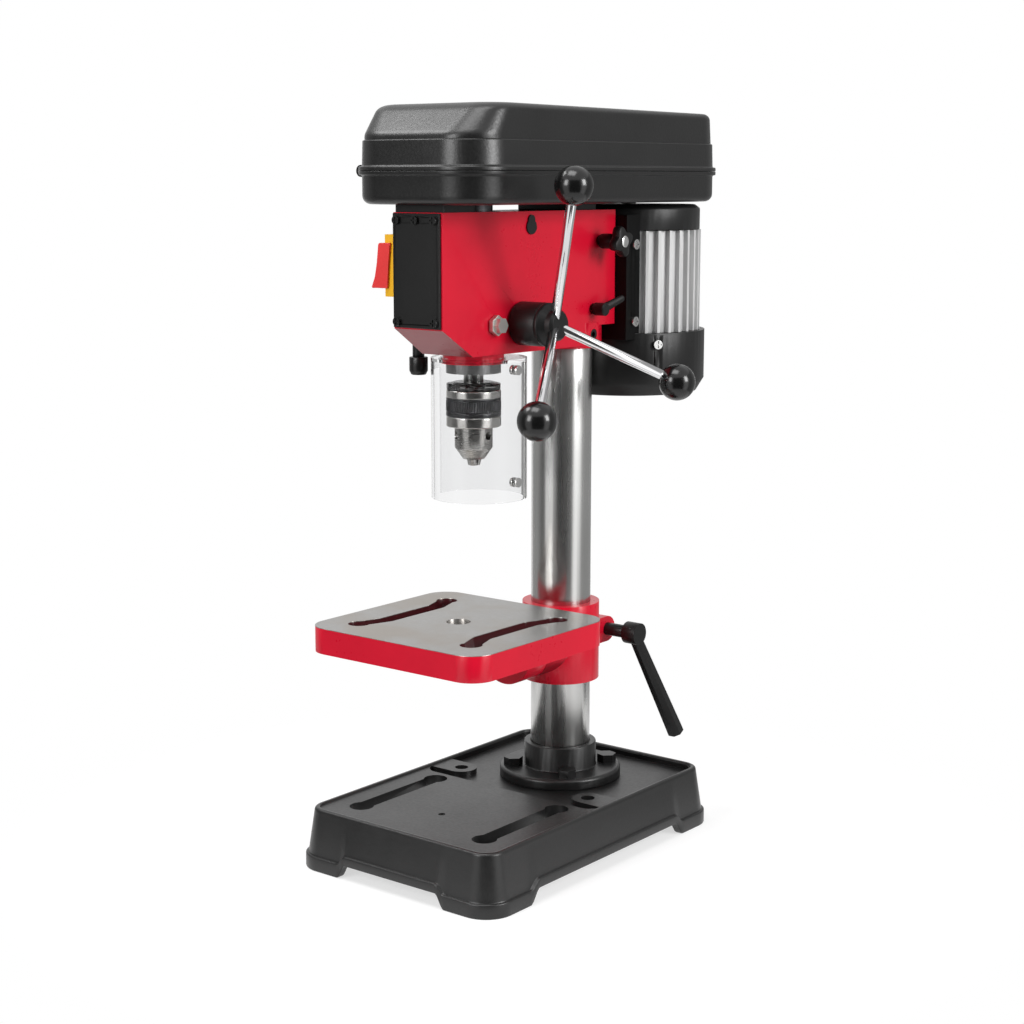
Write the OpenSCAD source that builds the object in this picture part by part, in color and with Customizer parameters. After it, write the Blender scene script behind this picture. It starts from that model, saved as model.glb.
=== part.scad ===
// Benchtop drill press: cast base, round column, tilting table and a belt-driven head.
// Millimetres. The origin is the middle of the base on the bench, +Z up, front towards -Y.

/* [Base] */
// Width of the base across its feet
base_w = 188; // [180:1:210]
// Length of the base from front to back
base_l = 282; // [276:1:320]
// Height of the base to its rim
base_h = 45; // [40:0.5:60]
// Corner radius of the base in plan
base_r = 22; // [18:1:28]
// How far each wall leans in from the floor to the rim
base_lean = 7; // [3:0.5:8]
// Wall thickness of the base casting
base_wall = 5; // [3:0.5:6]
// Thickness of the top under the well
base_top = 6; // [4:0.5:8]
// Depth of the platform below the rim
platform_drop = 1.5; // [1:0.25:3]
// Depth of the well round the column below the rim
well_drop = 5.5; // [4:0.5:7]
// Width of the raised rim
rim_w = 4; // [2:0.5:6]
// Height of the arches between the feet
arch_h = 13; // [8:1:16]
// Height of the skirt band, at the feet and over the arches
skirt_h = 8; // [5:0.5:12]
// How far the skirt band stands out of the wall
skirt_step = 1.5; // [0.5:0.25:3]
// Length of a foot along the front, from the corner
foot_x = 43; // [36:1:56]
// Length of a foot along the side, from the corner
foot_y = 45; // [36:1:60]
// Distance between the two clamping slots of the base
base_slot_pitch = 117; // [106:1:120]
// Length of a clamping slot of the base
base_slot_l = 102; // [70:1:104]
// Width of a clamping slot of the base
base_slot_w = 13; // [10:0.5:14]
// Diameter of the slot's round ends
base_slot_end = 18; // [15:0.5:20]
// Distance between the two bench bolt holes
lug_pitch = 123; // [116:1:130]
// Diameter of a bench bolt hole
lug_hole = 10.4; // [8:0.2:12]
// Outside radius of a bench bolt lug
lug_r = 12; // [10:0.5:14]

/* [Column] */
// Diameter of the column
col_d = 46; // [44:0.5:47]
// Wall thickness of the column tube
col_wall = 4; // [2:0.5:6]
// Distance of the column axis behind the middle of the base
col_y = 61.7; // [58:0.1:66]
// Diameter of the bolted flange
flange_d = 94.6; // [90:0.2:98]
// Thickness of the bolted flange
flange_h = 8.5; // [6:0.5:12]
// Diameter of the flange's collar
flange_collar_d = 56; // [54:0.5:58]
// Height of the flange's collar above the flange
flange_collar_h = 19; // [12:1:26]
// Bolt circle of the flange
flange_pcd = 74; // [72:0.5:76]

/* [Table] */
// Height of the table's face above the bench
table_z = 184; // [180:1:190]
// Width of the table
table_w = 159.6; // [150:0.2:164]
// Length of the table from front to back
table_l = 154.2; // [148:0.2:160]
// Height of the table's edge
table_h = 19; // [16:0.5:22]
// Thickness of the table's plate between its ribs
table_plate = 9; // [7:0.5:11]
// Corner radius of the table
table_r = 18; // [12:1:24]
// Diameter of the hole in the middle of the table
table_hole = 18; // [14:0.5:22]
// Distance between the straight middles of the two table slots
table_slot_pitch = 90.4; // [84:0.2:96]
// Length of a table slot
table_slot_l = 114; // [96:1:116]
// Width of a table slot
table_slot_w = 13; // [10:0.5:14]
// Diameter of a table slot's round ends
table_slot_end = 16; // [14:0.5:18]
// Gap between the table and the front of the arm's collar
table_gap = 16.9; // [14:0.1:20]
// Outside diameter of the arm's collar
arm_d = 59.6; // [58:0.2:64]
// Height of the arm's collar
arm_h = 60.4; // [54:0.2:66]
// Height of the collar's top below the table's face
arm_drop = 5; // [3:0.5:8]
// Height of the tilt axis below the table's face
tilt_drop = 34; // [32:0.5:36]
// Diameter of the two tilt faces
tilt_d = 48; // [44:1:52]
// Diameter of the tilt bolt
tilt_bolt_d = 12; // [10:0.5:14]
// Length of the table's lock lever
lever_l = 109; // [90:1:112]
// Angle of the lock lever behind straight down
lever_angle = 32.3; // [28:0.1:40]

/* [Head] */
// Distance from the column axis to the spindle axis
throat = 105.5; // [102:0.5:110]
// Height of the top of the head casting above the bench
head_top = 478; // [474:1:484]
// Width of the head at its front
head_front_w = 44; // [43:0.5:47]
// Width of the head at its rear
head_rear_w = 60; // [57:0.5:66]
// Distance of the head's front face before the spindle axis
head_front = 59.7; // [56:0.1:64]
// Distance of the head's rear face behind the column axis
head_rear = 26.3; // [26:0.1:28]
// Height of the front face
head_face_h = 80; // [78:1:84]
// Height of the head from its nose to its top
head_h = 100; // [97:1:103]
// Run of the sloping face under the front
head_slope = 31; // [26:1:33]
// Diameter of the boss that holds the column
boss_d = 60; // [58:0.5:64]
// Height of the rear wall of the head
head_rear_h = 85.4; // [80:0.2:90]
// Depth of the column in the head
col_grip = 62; // [50:1:68]
// Thickness of the front plate
plate_t = 2; // [1:0.25:3]
// Distance of the feed shaft behind the spindle axis
feed_back = 22.3; // [22:0.1:22.6]
// Depth of the feed shaft below the head's top
feed_drop = 79; // [76:0.5:80]

/* [Feed handle] */
// Number of pinion teeth
pinion_teeth = 12; // [12:1:12]
// Gear module of pinion and rack
gear_module = 1.5; // [1.5:0.1:1.5]
// Travel of the quill
quill_travel = 50; // [40:1:52]
// Diameter of the depth ring
ring_d = 31.2; // [28:0.2:32]
// Length of the depth ring
ring_l = 22.4; // [20:0.2:24]
// Diameter of the hub that holds the spokes
hub_d = 22; // [20:0.5:24]
// Length of that hub
hub_l = 10.2; // [9.6:0.2:12]
// Diameter of a spoke
spoke_d = 7.2; // [6:0.2:8]
// Distance from the hub's middle to the middle of a ball
spoke_l = 110; // [96:0.5:114]
// Lean of the spokes away from the head
spoke_lean = 23.5; // [20:0.5:28]
// Diameter of a ball
ball_d = 27; // [24:0.5:30]

/* [Quill and chuck] */
// Diameter of the quill
quill_d = 39.5; // [38.5:0.1:39.8]
// Length of the quill
quill_l = 98; // [94:1:99]
// How far the quill's end shows below the nose at rest
quill_show = 7; // [5:0.5:9]
// Height of the nose ring under the head
nose_h = 7; // [6.5:0.1:8]
// Diameter of the nose ring
nose_d = 44; // [43.5:0.1:45]
// Diameter of the spindle in its bearings
spindle_d = 16; // [14:0.5:17]
// Length of bare spindle between quill and chuck
spindle_show = 6.5; // [5:0.5:9]
// Diameter of the chuck's sleeve
sleeve_d = 39.7; // [39.2:0.1:41]
// Length of the chuck's sleeve
sleeve_l = 26.6; // [26:0.1:28]
// Diameter of the chuck's lower body
chuck_d = 27.5; // [26.5:0.1:28.5]
// Inclination of the jaws
jaw_lean = 15; // [14:0.5:15.5]
// Diameter of a jaw
jaw_d = 5.2; // [5:0.1:5.4]
// Travel of a jaw along its bore
jaw_travel = 16; // [10:1:16.5]
// Diameter of the clear guard
guard_d = 69; // [68:0.5:71]
// Length of the clear guard
guard_l = 101.4; // [95:0.2:106]
// Wall thickness of the guard
guard_wall = 1.8; // [1.2:0.1:2.5]

/* [Belt drive] */
// Distance between the spindle and motor axes
drive_centres = 191.5; // [191:0.1:193]
// Clear height of the pads between head and belt cover
pad_h = 5.2; // [4:0.2:7]
// Width of the belt cover
cover_w = 119.8; // [116:0.2:126]
// Distance of the cover's front before the spindle axis
cover_front = 69.4; // [66:0.2:74]
// Length of the belt cover
cover_l = 310.9; // [306:0.5:320]
// Corner radius of the cover in plan
cover_r = 32; // [26:1:36]
// Height of the lower pan up to the parting line
pan_h = 23; // [20:0.5:26]
// Height of the lid above the parting line
lid_h = 43.7; // [43:0.1:48]
// Height of the lid's upright wall
lid_wall_h = 20.8; // [16:0.2:24]
// How far the lid's front slopes back
lid_slope = 33; // [24:1:36]
// Wall thickness of pan and lid
cover_t = 2.4; // [2:0.1:3]
// Width of the lips at the parting line
lip_w = 2; // [1.5:0.25:3]
// Number of pulley steps
steps = 5; // [5:1:5]
// Height of one pulley step
step_h = 10; // [9.6:0.1:10.2]
// Radius of the largest step of the spindle pulley
spindle_step_r = 44; // [42:0.5:45]
// Radius of the smallest step of the motor pulley
motor_step_r = 18; // [17.5:0.5:19]
// Change of radius from step to step
step_dr = 4.5; // [4:0.1:4.5]
// Step that carries the belt, counted from the bottom
belt_step = 2; // [1:1:3]

/* [Motor] */
// Diameter over the motor's ribs
motor_d = 114; // [110:0.5:115]
// Depth of the motor's ribs
rib_h = 4; // [3:0.25:5]
// Number of ribs
ribs = 36; // [30:1:40]
// Length of the ribbed body
motor_body_h = 77.5; // [70:0.5:84]
// Height of the upper end cap
motor_cap_h = 19.5; // [15:0.5:21]
// Height of the fan cover
fan_cover_h = 48; // [40:1:54]
// Diameter of the fan cover
fan_cover_d = 122; // [120:0.5:126]
// Width of the motor's bracket
bracket_w = 80; // [76:0.5:84]
// Height of the motor's bracket
bracket_h = 94; // [90:0.5:98]
// How far the motor slides back to tighten the belt
motor_slide = 8; // [5:0.5:8]

/* [Hidden] */
$fn = 64;
HULL_FN = 32;

// Clearances
fit = 0.05;
gap = 0.3;
clear = 0.6;
over = 1;

// Paint and material colours
red = "#c8102e";
black = "#26272a";
dark = "#1b1b1d";
steel = "#b9babd";
bright = "#d9dadc";
yellow = "#f2c200";

// Base levels
platform_z = base_h - platform_drop;
well_z = base_h - well_drop;
base_ceiling = well_z - base_top;
rim_in_w = base_w - 2 * (base_lean + rim_w);
rim_in_l = base_l - 2 * (base_lean + rim_w);
rim_in_r = base_r - rim_w / 2;
platform_y = col_y - flange_d / 2 - 22;
base_slot_back = 4;
base_slot_y = platform_y - base_slot_l / 2 - base_slot_back;
lug_y = col_y - flange_d / 2;
arch_run = 8;
dimple_r = 3;

// Column levels
col_r = col_d / 2;
flange_top = well_z + flange_h;
collar_top = flange_top + flange_collar_h;
flange_bolt_d = 8;
flange_bolt_af = 13;
flange_bolt_head = 6;
column_top = head_top - head_h + col_grip;

// Table levels
arm_r = arm_d / 2;
arm_top = table_z - arm_drop;
arm_bottom = arm_top - arm_h;
table_back = col_y - arm_r - table_gap;
table_mid = table_back - table_l / 2;
table_slot_bend = 7.3;
table_slot_run = 21;
tilt_z = table_z - tilt_drop;
tilt_r = tilt_d / 2;
tilt_plate = 23;
tilt_bolt_end = col_y - col_r - 5;
split_w = 3;
ear_d = 20;
ear_l = 21;
lock_d = 10;
lock_y = col_y + col_r + lock_d / 2 + 2.9;
lock_z = (arm_top + arm_bottom) / 2 + 4.6;
lock_x = split_w / 2 + ear_l;
lever_x = lock_x + 25;
lever_head_d = 17;
lever_head_l = 12;

// Head levels and lines
spindle_y = col_y - throat;
head_y0 = spindle_y - head_front;
head_y1 = col_y + head_rear;
nose_z = head_top - head_h;
boss_drop = 2;
boss_z = nose_z - boss_drop;
head_lean = atan((head_rear_w - head_front_w) / 2 / (head_y1 - head_y0));
feed_y = spindle_y + feed_back;
feed_z = head_top - feed_drop;
bearing_r = quill_d / 2 + 0.6;
bearing_h = 7;
cavity_wall = 4;
cavity_floor = 5;
screw_d = 4;
screw_head_d = 6;
plate_h = head_face_h - 1;
plate_w = head_front_w - 2;
switch_l = 43;
switch_h = 43;
switch_t = 8.7;
switch_cut = 8;
switch_y = head_y0 + switch_l / 2 + 1;
switch_z = head_top - 15.3 - switch_h / 2;
flap_axis_z = switch_z + switch_h / 2 - 8;
flap_pin_d = 3;
flap_t = 2.4;
flap_h = 32;
flap_lean = 18;
flap_l = switch_l - 6;
flap_pocket = 3;
flap_pocket_l = 29;
start_h = 5;
gland_d = 8.7;
gland_cap_d = 13.6;
gland_reach = 22;
gland_block = 12;
gland_y = spindle_y - 6.8;
gland_z = nose_z + 8;
gland_neck = 13;
gland_cap_h = 13;
lock_lever_z = nose_z + 27;
set_screw_z = nose_z + 8;
tension_y = col_y + 7.5;
bar_d = 12;
bar_x = 15;
bar_z = column_top + 15;
bar_l = 44;
key_behind = 33.5;
key_y = spindle_y + key_behind;
key_z = head_top - 8.5;

// Quill, spindle and chuck
quill_r = quill_d / 2;
quill_bottom = nose_z - nose_h - quill_show;
quill_top = quill_bottom + quill_l;
pitch_r = gear_module * pinion_teeth / 2;
rack_pitch = PI * gear_module;
pressure_angle = 20;
rack_addendum = 1;
pinion_addendum = 1.2;
tooth_root = 1.6;
backlash = 0.5;
rack_y = feed_back - pitch_r;
pinion_l = 20;
rack_teeth = ceil((quill_travel + 2 * pitch_r + 4) / rack_pitch);
rack_flat = rack_y + rack_addendum;
rack_bottom = feed_z - pitch_r - pinion_addendum - 1;
spline_r = 6.2;
spline_tip = 7.2;
spline_n = 6;
spline_w = 3;
spindle_r = spindle_d / 2;
spindle_rise = 55;
nose_shaft_r = spindle_r - 0.85;
lower_bearing_h = 10;
upper_bearing_h = 8;
lower_bearing_r = quill_r - 2.5;
upper_bearing_r = rack_flat - 1.2;
key_slot_w = 6;
key_slot_depth = 2;
guide_off = 6;
guide_y = spindle_y - guide_off;
guide_face = sqrt(pow(quill_r, 2) - pow(guide_off + key_slot_w / 2, 2));
guide_nut_h = 3.6;
guide_nut_d = 13;
guide_head_h = 4;
guide_head_d = 10;
chuck_top = quill_bottom - spindle_show;
chuck_cap_h = 5.6;
chuck_cap_r = 19.4;
chuck_cap_bevel = 1.3;
chuck_cap_top_r = 14;
sleeve_top = chuck_top - chuck_cap_h;
sleeve_bottom = sleeve_top - sleeve_l;
sleeve_rim = 3;
chuck_r = chuck_d / 2;
chuck_low = 15.2;
chuck_shoulder = sleeve_bottom - chuck_low;
chuck_cone_h = 8.3;
chuck_mouth_r = 8;
chuck_mouth = chuck_shoulder - chuck_cone_h;
jaw_r = jaw_d / 2;
jaw_tip = chuck_mouth - 4.9;
jaw_root_r = 1.9 + jaw_d / 2 - 2.6;
jaw_l = 34;
cavity_r = sleeve_d / 2 - 1.85;
chuck_neck_r = 13;
chuck_core_r = 11;
taper_r = 6;
taper_l = 13;
chuck_key_d = 6;
chuck_key_z = sleeve_bottom - 6.3;
guard_r = guard_d / 2;
guard_off_x = 2.9;
guard_off_y = 2.6;
guard_plate = 2.5;
guard_lip = 1.5;
guard_top = nose_z - nose_h + guard_lip + fit + guard_plate;
guard_bottom = guard_top - guard_l;
guard_slot = 16;
rivet_d = 5;

// Feed parts
head_side = head_front_w / 2 + (head_rear_w - head_front_w) / 2 * (feed_y - head_y0) / (head_y1 - head_y0);
ring_x = head_side + tan(head_lean) * ring_d / 2 + gap;
flange_x = ring_x + ring_l + gap;
hub_flange = 2;
hub_cone_l = 4;
hub_cone_step = 1.2;
hub_x = flange_x + hub_flange;
spoke_x = hub_x + hub_l * 0.45;
shaft_r = 7;
journal_r = 10.5;
spoke_angles = [-17.2, 116.5, 235.2];
spoke_leans = [spoke_lean - 2.7, spoke_lean + 0.8, spoke_lean + 1.9];
cap_r = 22;
cap_l = 17;
cap_wall = 2;
spring_turns = 5;
spring_strip = 0.8;

// Cover levels
pan_z = head_top + pad_h;
part_z = pan_z + pan_h;
lid_top = part_z + lid_h;
lid_step = part_z + lid_wall_h;
cover_y0 = spindle_y - cover_front;
cover_mid = cover_y0 + cover_l / 2;
lip_h = 2.5;
pan_round = 6;
lid_inset = 2;
lid_round = 7;
knuckle_r = 4.2;
knuckle_l = 10;
hinge_pin_d = 4;
hinge_x = -(cover_w / 2 + lip_w + knuckle_r + gap);
hinge_ys = [cover_y0 + cover_r - 7, cover_y0 + cover_l - cover_r - 26];

// Belt drive
motor_y = spindle_y + drive_centres;
pulley_z = pan_z + cover_t + 4;
pulley_bore_r = 11;
sleeve_top_z = pulley_z + steps * step_h + 1;
groove = 5;
belt_t = 5.5;
belt_w = 4;
belt_sink = 0.6;
motor_shaft_r = 6;

// Motor levels
motor_r = motor_d / 2;
motor_core_r = motor_r - rib_h;
motor_top = pan_z - 2;
motor_body_top = motor_top - motor_cap_h;
motor_body_bottom = motor_body_top - motor_body_h;
motor_bottom = motor_body_bottom - fan_cover_h;
stator_r = motor_core_r - 3;
rotor_r = 29;
air_gap = 0.5;
bracket_t = 3;
bracket_y = head_y1 + 1;
bracket_z = head_top - 4 - bracket_h;
rib_w = 2.6;
fan_wall = 2.5;

// Half the head's width at a place along it
function head_half(y) =
    head_front_w / 2 + (head_rear_w - head_front_w) / 2 * (y - head_y0) / (head_y1 - head_y0);

// Point of the involute of a circle of radius b, unrolled through t degrees
function involute(b, t) = b * [cos(t) + t * PI / 180 * sin(t), sin(t) - t * PI / 180 * cos(t)];

// Radii of the two pulleys' steps, counted from the bottom
function spindle_step(i) = spindle_step_r - i * step_dr;
function motor_step(i) = motor_step_r + i * step_dr;

// Flat rectangle with round corners, about the origin
module rounded(w, l, r) {
    square([w - 2 * r, l], center = true);
    square([w, l - 2 * r], center = true);
    for (x = [-1, 1], y = [-1, 1])
        translate([x * (w / 2 - r), y * (l / 2 - r)]) circle(r);
}

// Upright plate of that outline
module plate(w, l, r, z, h) {
    translate([0, 0, z]) linear_extrude(h) rounded(w, l, r);
}

// Slot along Y with round ends of their own diameter
module slot_outline(l, w, front_d, rear_d) {
    translate([0, (front_d - rear_d) / 4]) square([w, l - (front_d + rear_d) / 2], center = true);
    translate([0, -(l - front_d) / 2]) circle(d = front_d);
    translate([0, (l - rear_d) / 2]) circle(d = rear_d);
}

// Slot along Y with a straight middle and round ends that lie to one side by bend, each end run long
module bent_slot(l, w, end_d, bend, run) {
    straight = l - end_d - 2 * run;
    square([w, straight], center = true);
    for (end = [0, 180]) rotate(end) translate([0, straight / 2]) {
        side = end == 0 ? bend : -bend;
        circle(d = w);
        rotate(-atan2(side, run)) translate([-w / 2, 0]) square([w, norm([bend, run])]);
        translate([side, run]) circle(d = end_d);
    }
}

// Cylinder along X, from x0 to x1
module along_x(x0, x1, y, z, r) {
    translate([x0, y, z]) rotate([0, 90, 0]) cylinder(h = x1 - x0, r = r);
}

// Cylinder along Y, from y0 to y1
module along_y(y0, y1, x, z, r) {
    translate([x, y0, z]) rotate([-90, 0, 0]) cylinder(h = y1 - y0, r = r);
}

// Ring standing on z
module ring(r_out, r_in, z, h) {
    translate([0, 0, z]) difference() {
        cylinder(h = h, r = r_out);
        translate([0, 0, -over]) cylinder(h = h + 2 * over, r = r_in);
    }
}

// Hexagon bolt, head up, with its head resting on z = 0
module hex_bolt(d, l, af, head) {
    cylinder(h = head, d = af / cos(30), $fn = 6);
    translate([0, 0, -l]) cylinder(h = l + head / 2, d = d);
}

// Pan-head screw, head up, with its head resting on z = 0
module pan_screw(d, l, head_d) {
    difference() {
        cylinder(h = head_d * 0.4, d = head_d);
        translate([0, 0, head_d * 0.4]) cube([head_d * 0.8, 1, 1.6], center = true);
        translate([0, 0, head_d * 0.4]) cube([1, head_d * 0.8, 1.6], center = true);
    }
    translate([0, 0, -l]) cylinder(h = l + 0.5, d = d);
}

// Places a child on the head's right wall, its Z pointing out of the wall
module on_head_side(y, z) {
    translate([head_half(y), y, z]) rotate([0, 0, -head_lean]) rotate([0, 90, 0]) children();
}

// Places a child on the head's left wall, its Z pointing out of the wall
module on_head_left(y, z) {
    mirror([1, 0, 0]) on_head_side(y, z) children();
}

// Places a child on the spindle axis
module at_spindle() {
    translate([0, spindle_y, 0]) children();
}

// Places a child on the motor axis
module at_motor() {
    translate([0, motor_y, 0]) children();
}

// Prism under one wall of the base that leaves the feet standing
module arch(run, depth) {
    rotate([90, 0, 0]) translate([0, 0, -depth / 2]) linear_extrude(depth)
        polygon([[-run / 2, -over], [-run / 2, 0], [-run / 2 + arch_run, arch_h],
            [run / 2 - arch_run, arch_h], [run / 2, 0], [run / 2, -over]]);
}

// Lug of the bench bolt, joined to the rim
module lug_outline(side) {
    translate([side * lug_pitch / 2, lug_y]) circle(lug_r);
    translate([side * (lug_pitch / 2 + rim_in_w) / 2, lug_y])
        square([rim_in_w - lug_pitch / 2, 2 * lug_r], center = true);
}

module base() {
    color(black) difference() {
        union() {
            hull() {
                plate(base_w - 2 * skirt_step, base_l - 2 * skirt_step, base_r, 0, 1, $fn = HULL_FN);
                plate(base_w - 2 * base_lean, base_l - 2 * base_lean, base_r, base_h - 1, 1,
                    $fn = HULL_FN);
            }
            plate(base_w, base_l, base_r, 0, skirt_h);
            intersection() {
                plate(base_w, base_l, base_r, 0, arch_h + skirt_h);
                union() {
                    cube([base_w - 2 * foot_x, 2 * base_l, 4 * base_h], center = true);
                    cube([2 * base_w, base_l - 2 * foot_y, 4 * base_h], center = true);
                }
            }
        }
        hull() {
            plate(base_w - 2 * (skirt_step + base_wall), base_l - 2 * (skirt_step + base_wall),
                base_r - base_wall, -over, over, $fn = HULL_FN);
            plate(base_w - 2 * (base_lean + base_wall), base_l - 2 * (base_lean + base_wall),
                base_r - base_wall, base_ceiling - 1, 1, $fn = HULL_FN);
        }
        plate(rim_in_w, rim_in_l, rim_in_r, platform_z, 2 * platform_drop);
        translate([0, 0, well_z]) linear_extrude(2 * well_drop) difference() {
            intersection() {
                rounded(rim_in_w, rim_in_l, rim_in_r);
                translate([-base_w, platform_y]) square([2 * base_w, base_l]);
            }
            lug_outline(-1);
            lug_outline(1);
        }
        arch(base_w - 2 * foot_x, 2 * base_l);
        rotate([0, 0, 90]) arch(base_l - 2 * foot_y, 2 * base_w);
        for (side = [-1, 1]) {
            translate([side * base_slot_pitch / 2, base_slot_y, -over]) linear_extrude(2 * base_h)
                slot_outline(base_slot_l, base_slot_w, base_slot_end, base_slot_end);
            translate([side * lug_pitch / 2, lug_y, -over]) cylinder(h = 2 * base_h, d = lug_hole);
        }
        translate([0, base_slot_y - base_slot_l * 0.2, platform_z - 1]) cylinder(h = base_h, r = dimple_r);
        translate([0, col_y, 0]) for (a = [45 : 90 : 315]) rotate([0, 0, a])
            translate([flange_pcd / 2, 0, 0]) cylinder(h = 2 * base_h, d = flange_bolt_d + 2 * fit);
    }
}

module column_flange() {
    color(dark) translate([0, col_y, well_z]) difference() {
        union() {
            cylinder(h = flange_h - 1.5, d = flange_d);
            translate([0, 0, flange_h - 1.5]) cylinder(h = 1.5, d1 = flange_d, d2 = flange_d - 4);
            cylinder(h = flange_h + flange_collar_h, d = flange_collar_d);
        }
        translate([0, 0, -over]) cylinder(h = 2 * base_h, r = col_r + fit);
        for (a = [45 : 90 : 315]) rotate([0, 0, a]) translate([flange_pcd / 2, 0, -over])
            cylinder(h = 2 * flange_h, d = flange_bolt_d + 2 * fit);
    }
}

module flange_bolts() {
    color(dark) translate([0, col_y, flange_top]) for (a = [45 : 90 : 315]) rotate([0, 0, a])
        translate([flange_pcd / 2, 0, 0])
            hex_bolt(flange_bolt_d, flange_h + base_top, flange_bolt_af, flange_bolt_head);
}

module column() {
    color(steel) translate([0, col_y, 0]) ring(col_r, col_r - col_wall, well_z, column_top - well_z);
}

// Side view of the head, extruded across it
module head_side_view() {
    translate([head_rear_w, 0, 0]) rotate([90, 0, -90]) linear_extrude(2 * head_rear_w) polygon([
        [-head_y0, head_top], [-head_y0, head_top - head_face_h], [-head_y0 - head_slope, nose_z],
        [-col_y, nose_z], [-col_y, head_top - head_rear_h], [-head_y1, head_top - head_rear_h],
        [-head_y1, head_top]]);
}

module head_casting() {
    front = head_front_w / 2;
    rear = head_rear_w / 2;
    color(red) difference() {
        union() {
            intersection() {
                linear_extrude(2 * head_top)
                    polygon([[-front, head_y0], [front, head_y0], [rear, head_y1], [-rear, head_y1]]);
                head_side_view();
            }
            translate([0, col_y, boss_z]) cylinder(h = head_top - head_rear_h - boss_z + 2, d = boss_d);
            at_spindle() translate([0, 0, nose_z - nose_h]) {
                cylinder(h = nose_h + 2, d = nose_d);
                cylinder(h = guard_lip, d = nose_d + 3);
            }
        }
        translate([0, col_y, boss_z - over]) cylinder(h = column_top - boss_z + over + 2, r = col_r + fit);
        at_spindle() {
            cylinder(h = quill_top + 1, r = quill_r + fit);
            translate([0, 0, quill_top + 1]) cylinder(h = head_top, r = bearing_r - 1.5);
            translate([0, 0, head_top - 2 * bearing_h]) cylinder(h = head_top, r = bearing_r);
        }
        along_x(-pinion_l / 2 - 1, 2 * head_rear_w, feed_y, feed_z, journal_r + fit);
        along_x(-2 * head_rear_w, 0, feed_y, feed_z, shaft_r + fit);
        head_cavity();
        for (x = [-1, 1])
            along_y(head_y1 - bar_l, head_y1 + over, x * bar_x, bar_z, bar_d / 2 + fit);
        along_x(0, head_rear_w, tension_y, bar_z, screw_d + fit);
        along_x(0, head_rear_w, col_y, lock_lever_z, screw_d + fit);
        along_x(0, head_rear_w, col_y, set_screw_z, screw_d + fit);
        along_x(0, head_rear_w, guide_y, feed_z, screw_d + fit);
        front_screw_places() cylinder(h = 12, d = screw_d + 2 * fit, center = true);
        translate([-boss_d, head_y1, boss_z - over]) cube([2 * boss_d, boss_d, head_top]);
        at_motor() translate([0, 0, motor_bottom])
            cylinder(h = fan_cover_h + 2 * gap, r = fan_cover_d / 2 + 2 * gap);
    }
}

// Pocket behind the front plate that takes the switch
module head_cavity() {
    w = head_front_w - 2 * cavity_wall;
    deep = head_front - quill_r - cavity_wall;
    low = head_top - head_face_h + cavity_floor;
    translate([-w / 2, head_y0 - over, low]) cube([w, deep + over, head_top - cavity_floor - low]);
    translate([-head_front_w, switch_y - switch_l / 2 + switch_cut, switch_z - switch_h / 2 + switch_cut])
        cube([head_front_w, switch_l - 2 * switch_cut, switch_h - 2 * switch_cut]);
}

// The five screws of the front plate, each with its Z out of the plate
module front_screw_places() {
    edge = screw_head_d / 2 + 1.2;
    top = head_top - edge - 1;
    low = head_top - plate_h + edge;
    for (p = [[-1, top], [0, top], [1, top], [-1, low], [1, low]])
        translate([p[0] * (plate_w / 2 - edge), head_y0 - plate_t, p[1]]) rotate([90, 0, 0]) children();
}

module head_set_screw() {
    color(dark) difference() {
        along_x(col_r + fit, boss_d / 2 - 0.5, col_y, set_screw_z, screw_d);
        translate([boss_d / 2 - 3.5, col_y, set_screw_z]) rotate([0, 90, 0])
            cylinder(h = 6, d = 4.5, $fn = 6);
    }
}

module front_plate() {
    color(black) difference() {
        translate([-plate_w / 2, head_y0 - plate_t, head_top - plate_h])
            cube([plate_w, plate_t, plate_h - 0.5]);
        front_screw_places() cylinder(h = 12, d = screw_d + 2 * fit, center = true);
    }
}

module front_plate_screws() {
    color(steel) front_screw_places() pan_screw(screw_d, plate_t + 3.5, screw_head_d);
}

// Box in the left wall's own frame: across is along the wall, out is away from it
module left_box(up, across, out) {
    translate([-up / 2, -across / 2, 0]) cube([up, across, out]);
}

module switch_housing() {
    depth = 16;
    wall_cut = switch_l - 2 * switch_cut - 2 * clear - 2 * depth * sin(head_lean);
    color(yellow) difference() {
        union() {
            on_head_left(switch_y, switch_z) left_box(switch_h, switch_l, switch_t);
            on_head_left(switch_y, switch_z) translate([0, 0, -depth]) left_box(wall_cut, wall_cut, depth);
        }
        on_head_left(switch_y, flap_axis_z) rotate([90, 0, 0]) translate([0, switch_t, 0])
            cylinder(h = 2 * switch_l, d = flap_pin_d + 2 * clear, center = true);
        on_head_left(switch_y, flap_axis_z)
            translate([-flap_pin_d / 2 - clear, -flap_l / 2 - gap, switch_t - flap_pocket])
                cube([flap_pocket_l, flap_l + 2 * gap, 2 * flap_pocket]);
        on_head_left(start_y(), start_z()) translate([0, 0, switch_t - 4])
            left_box(start_h + 2 * gap, start_l() + 2 * gap, 6);
    }
}

function start_l() = switch_l - 10;
function start_y() = switch_y;
function start_z() = switch_z + switch_h / 2 - 3.2;

module start_button() {
    color("#2f9e44") on_head_left(start_y(), start_z()) translate([0, 0, switch_t - 4 + 1.6 + gap])
        left_box(start_h, start_l(), 3.8);
}

module stop_flap() {
    pin_l = switch_l - 1;
    color("#e8202a") on_head_left(switch_y, flap_axis_z) translate([0, 0, switch_t]) rotate([90, 0, 0]) {
        translate([0, 0, -pin_l / 2]) cylinder(h = pin_l, d = flap_pin_d);
        translate([0, 0, -flap_l / 2]) linear_extrude(flap_l) rotate(flap_lean) {
            translate([0, -flap_t / 2]) square([flap_h, flap_t]);
            translate([flap_h, 0]) circle(d = flap_t);
        }
    }
}

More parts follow.
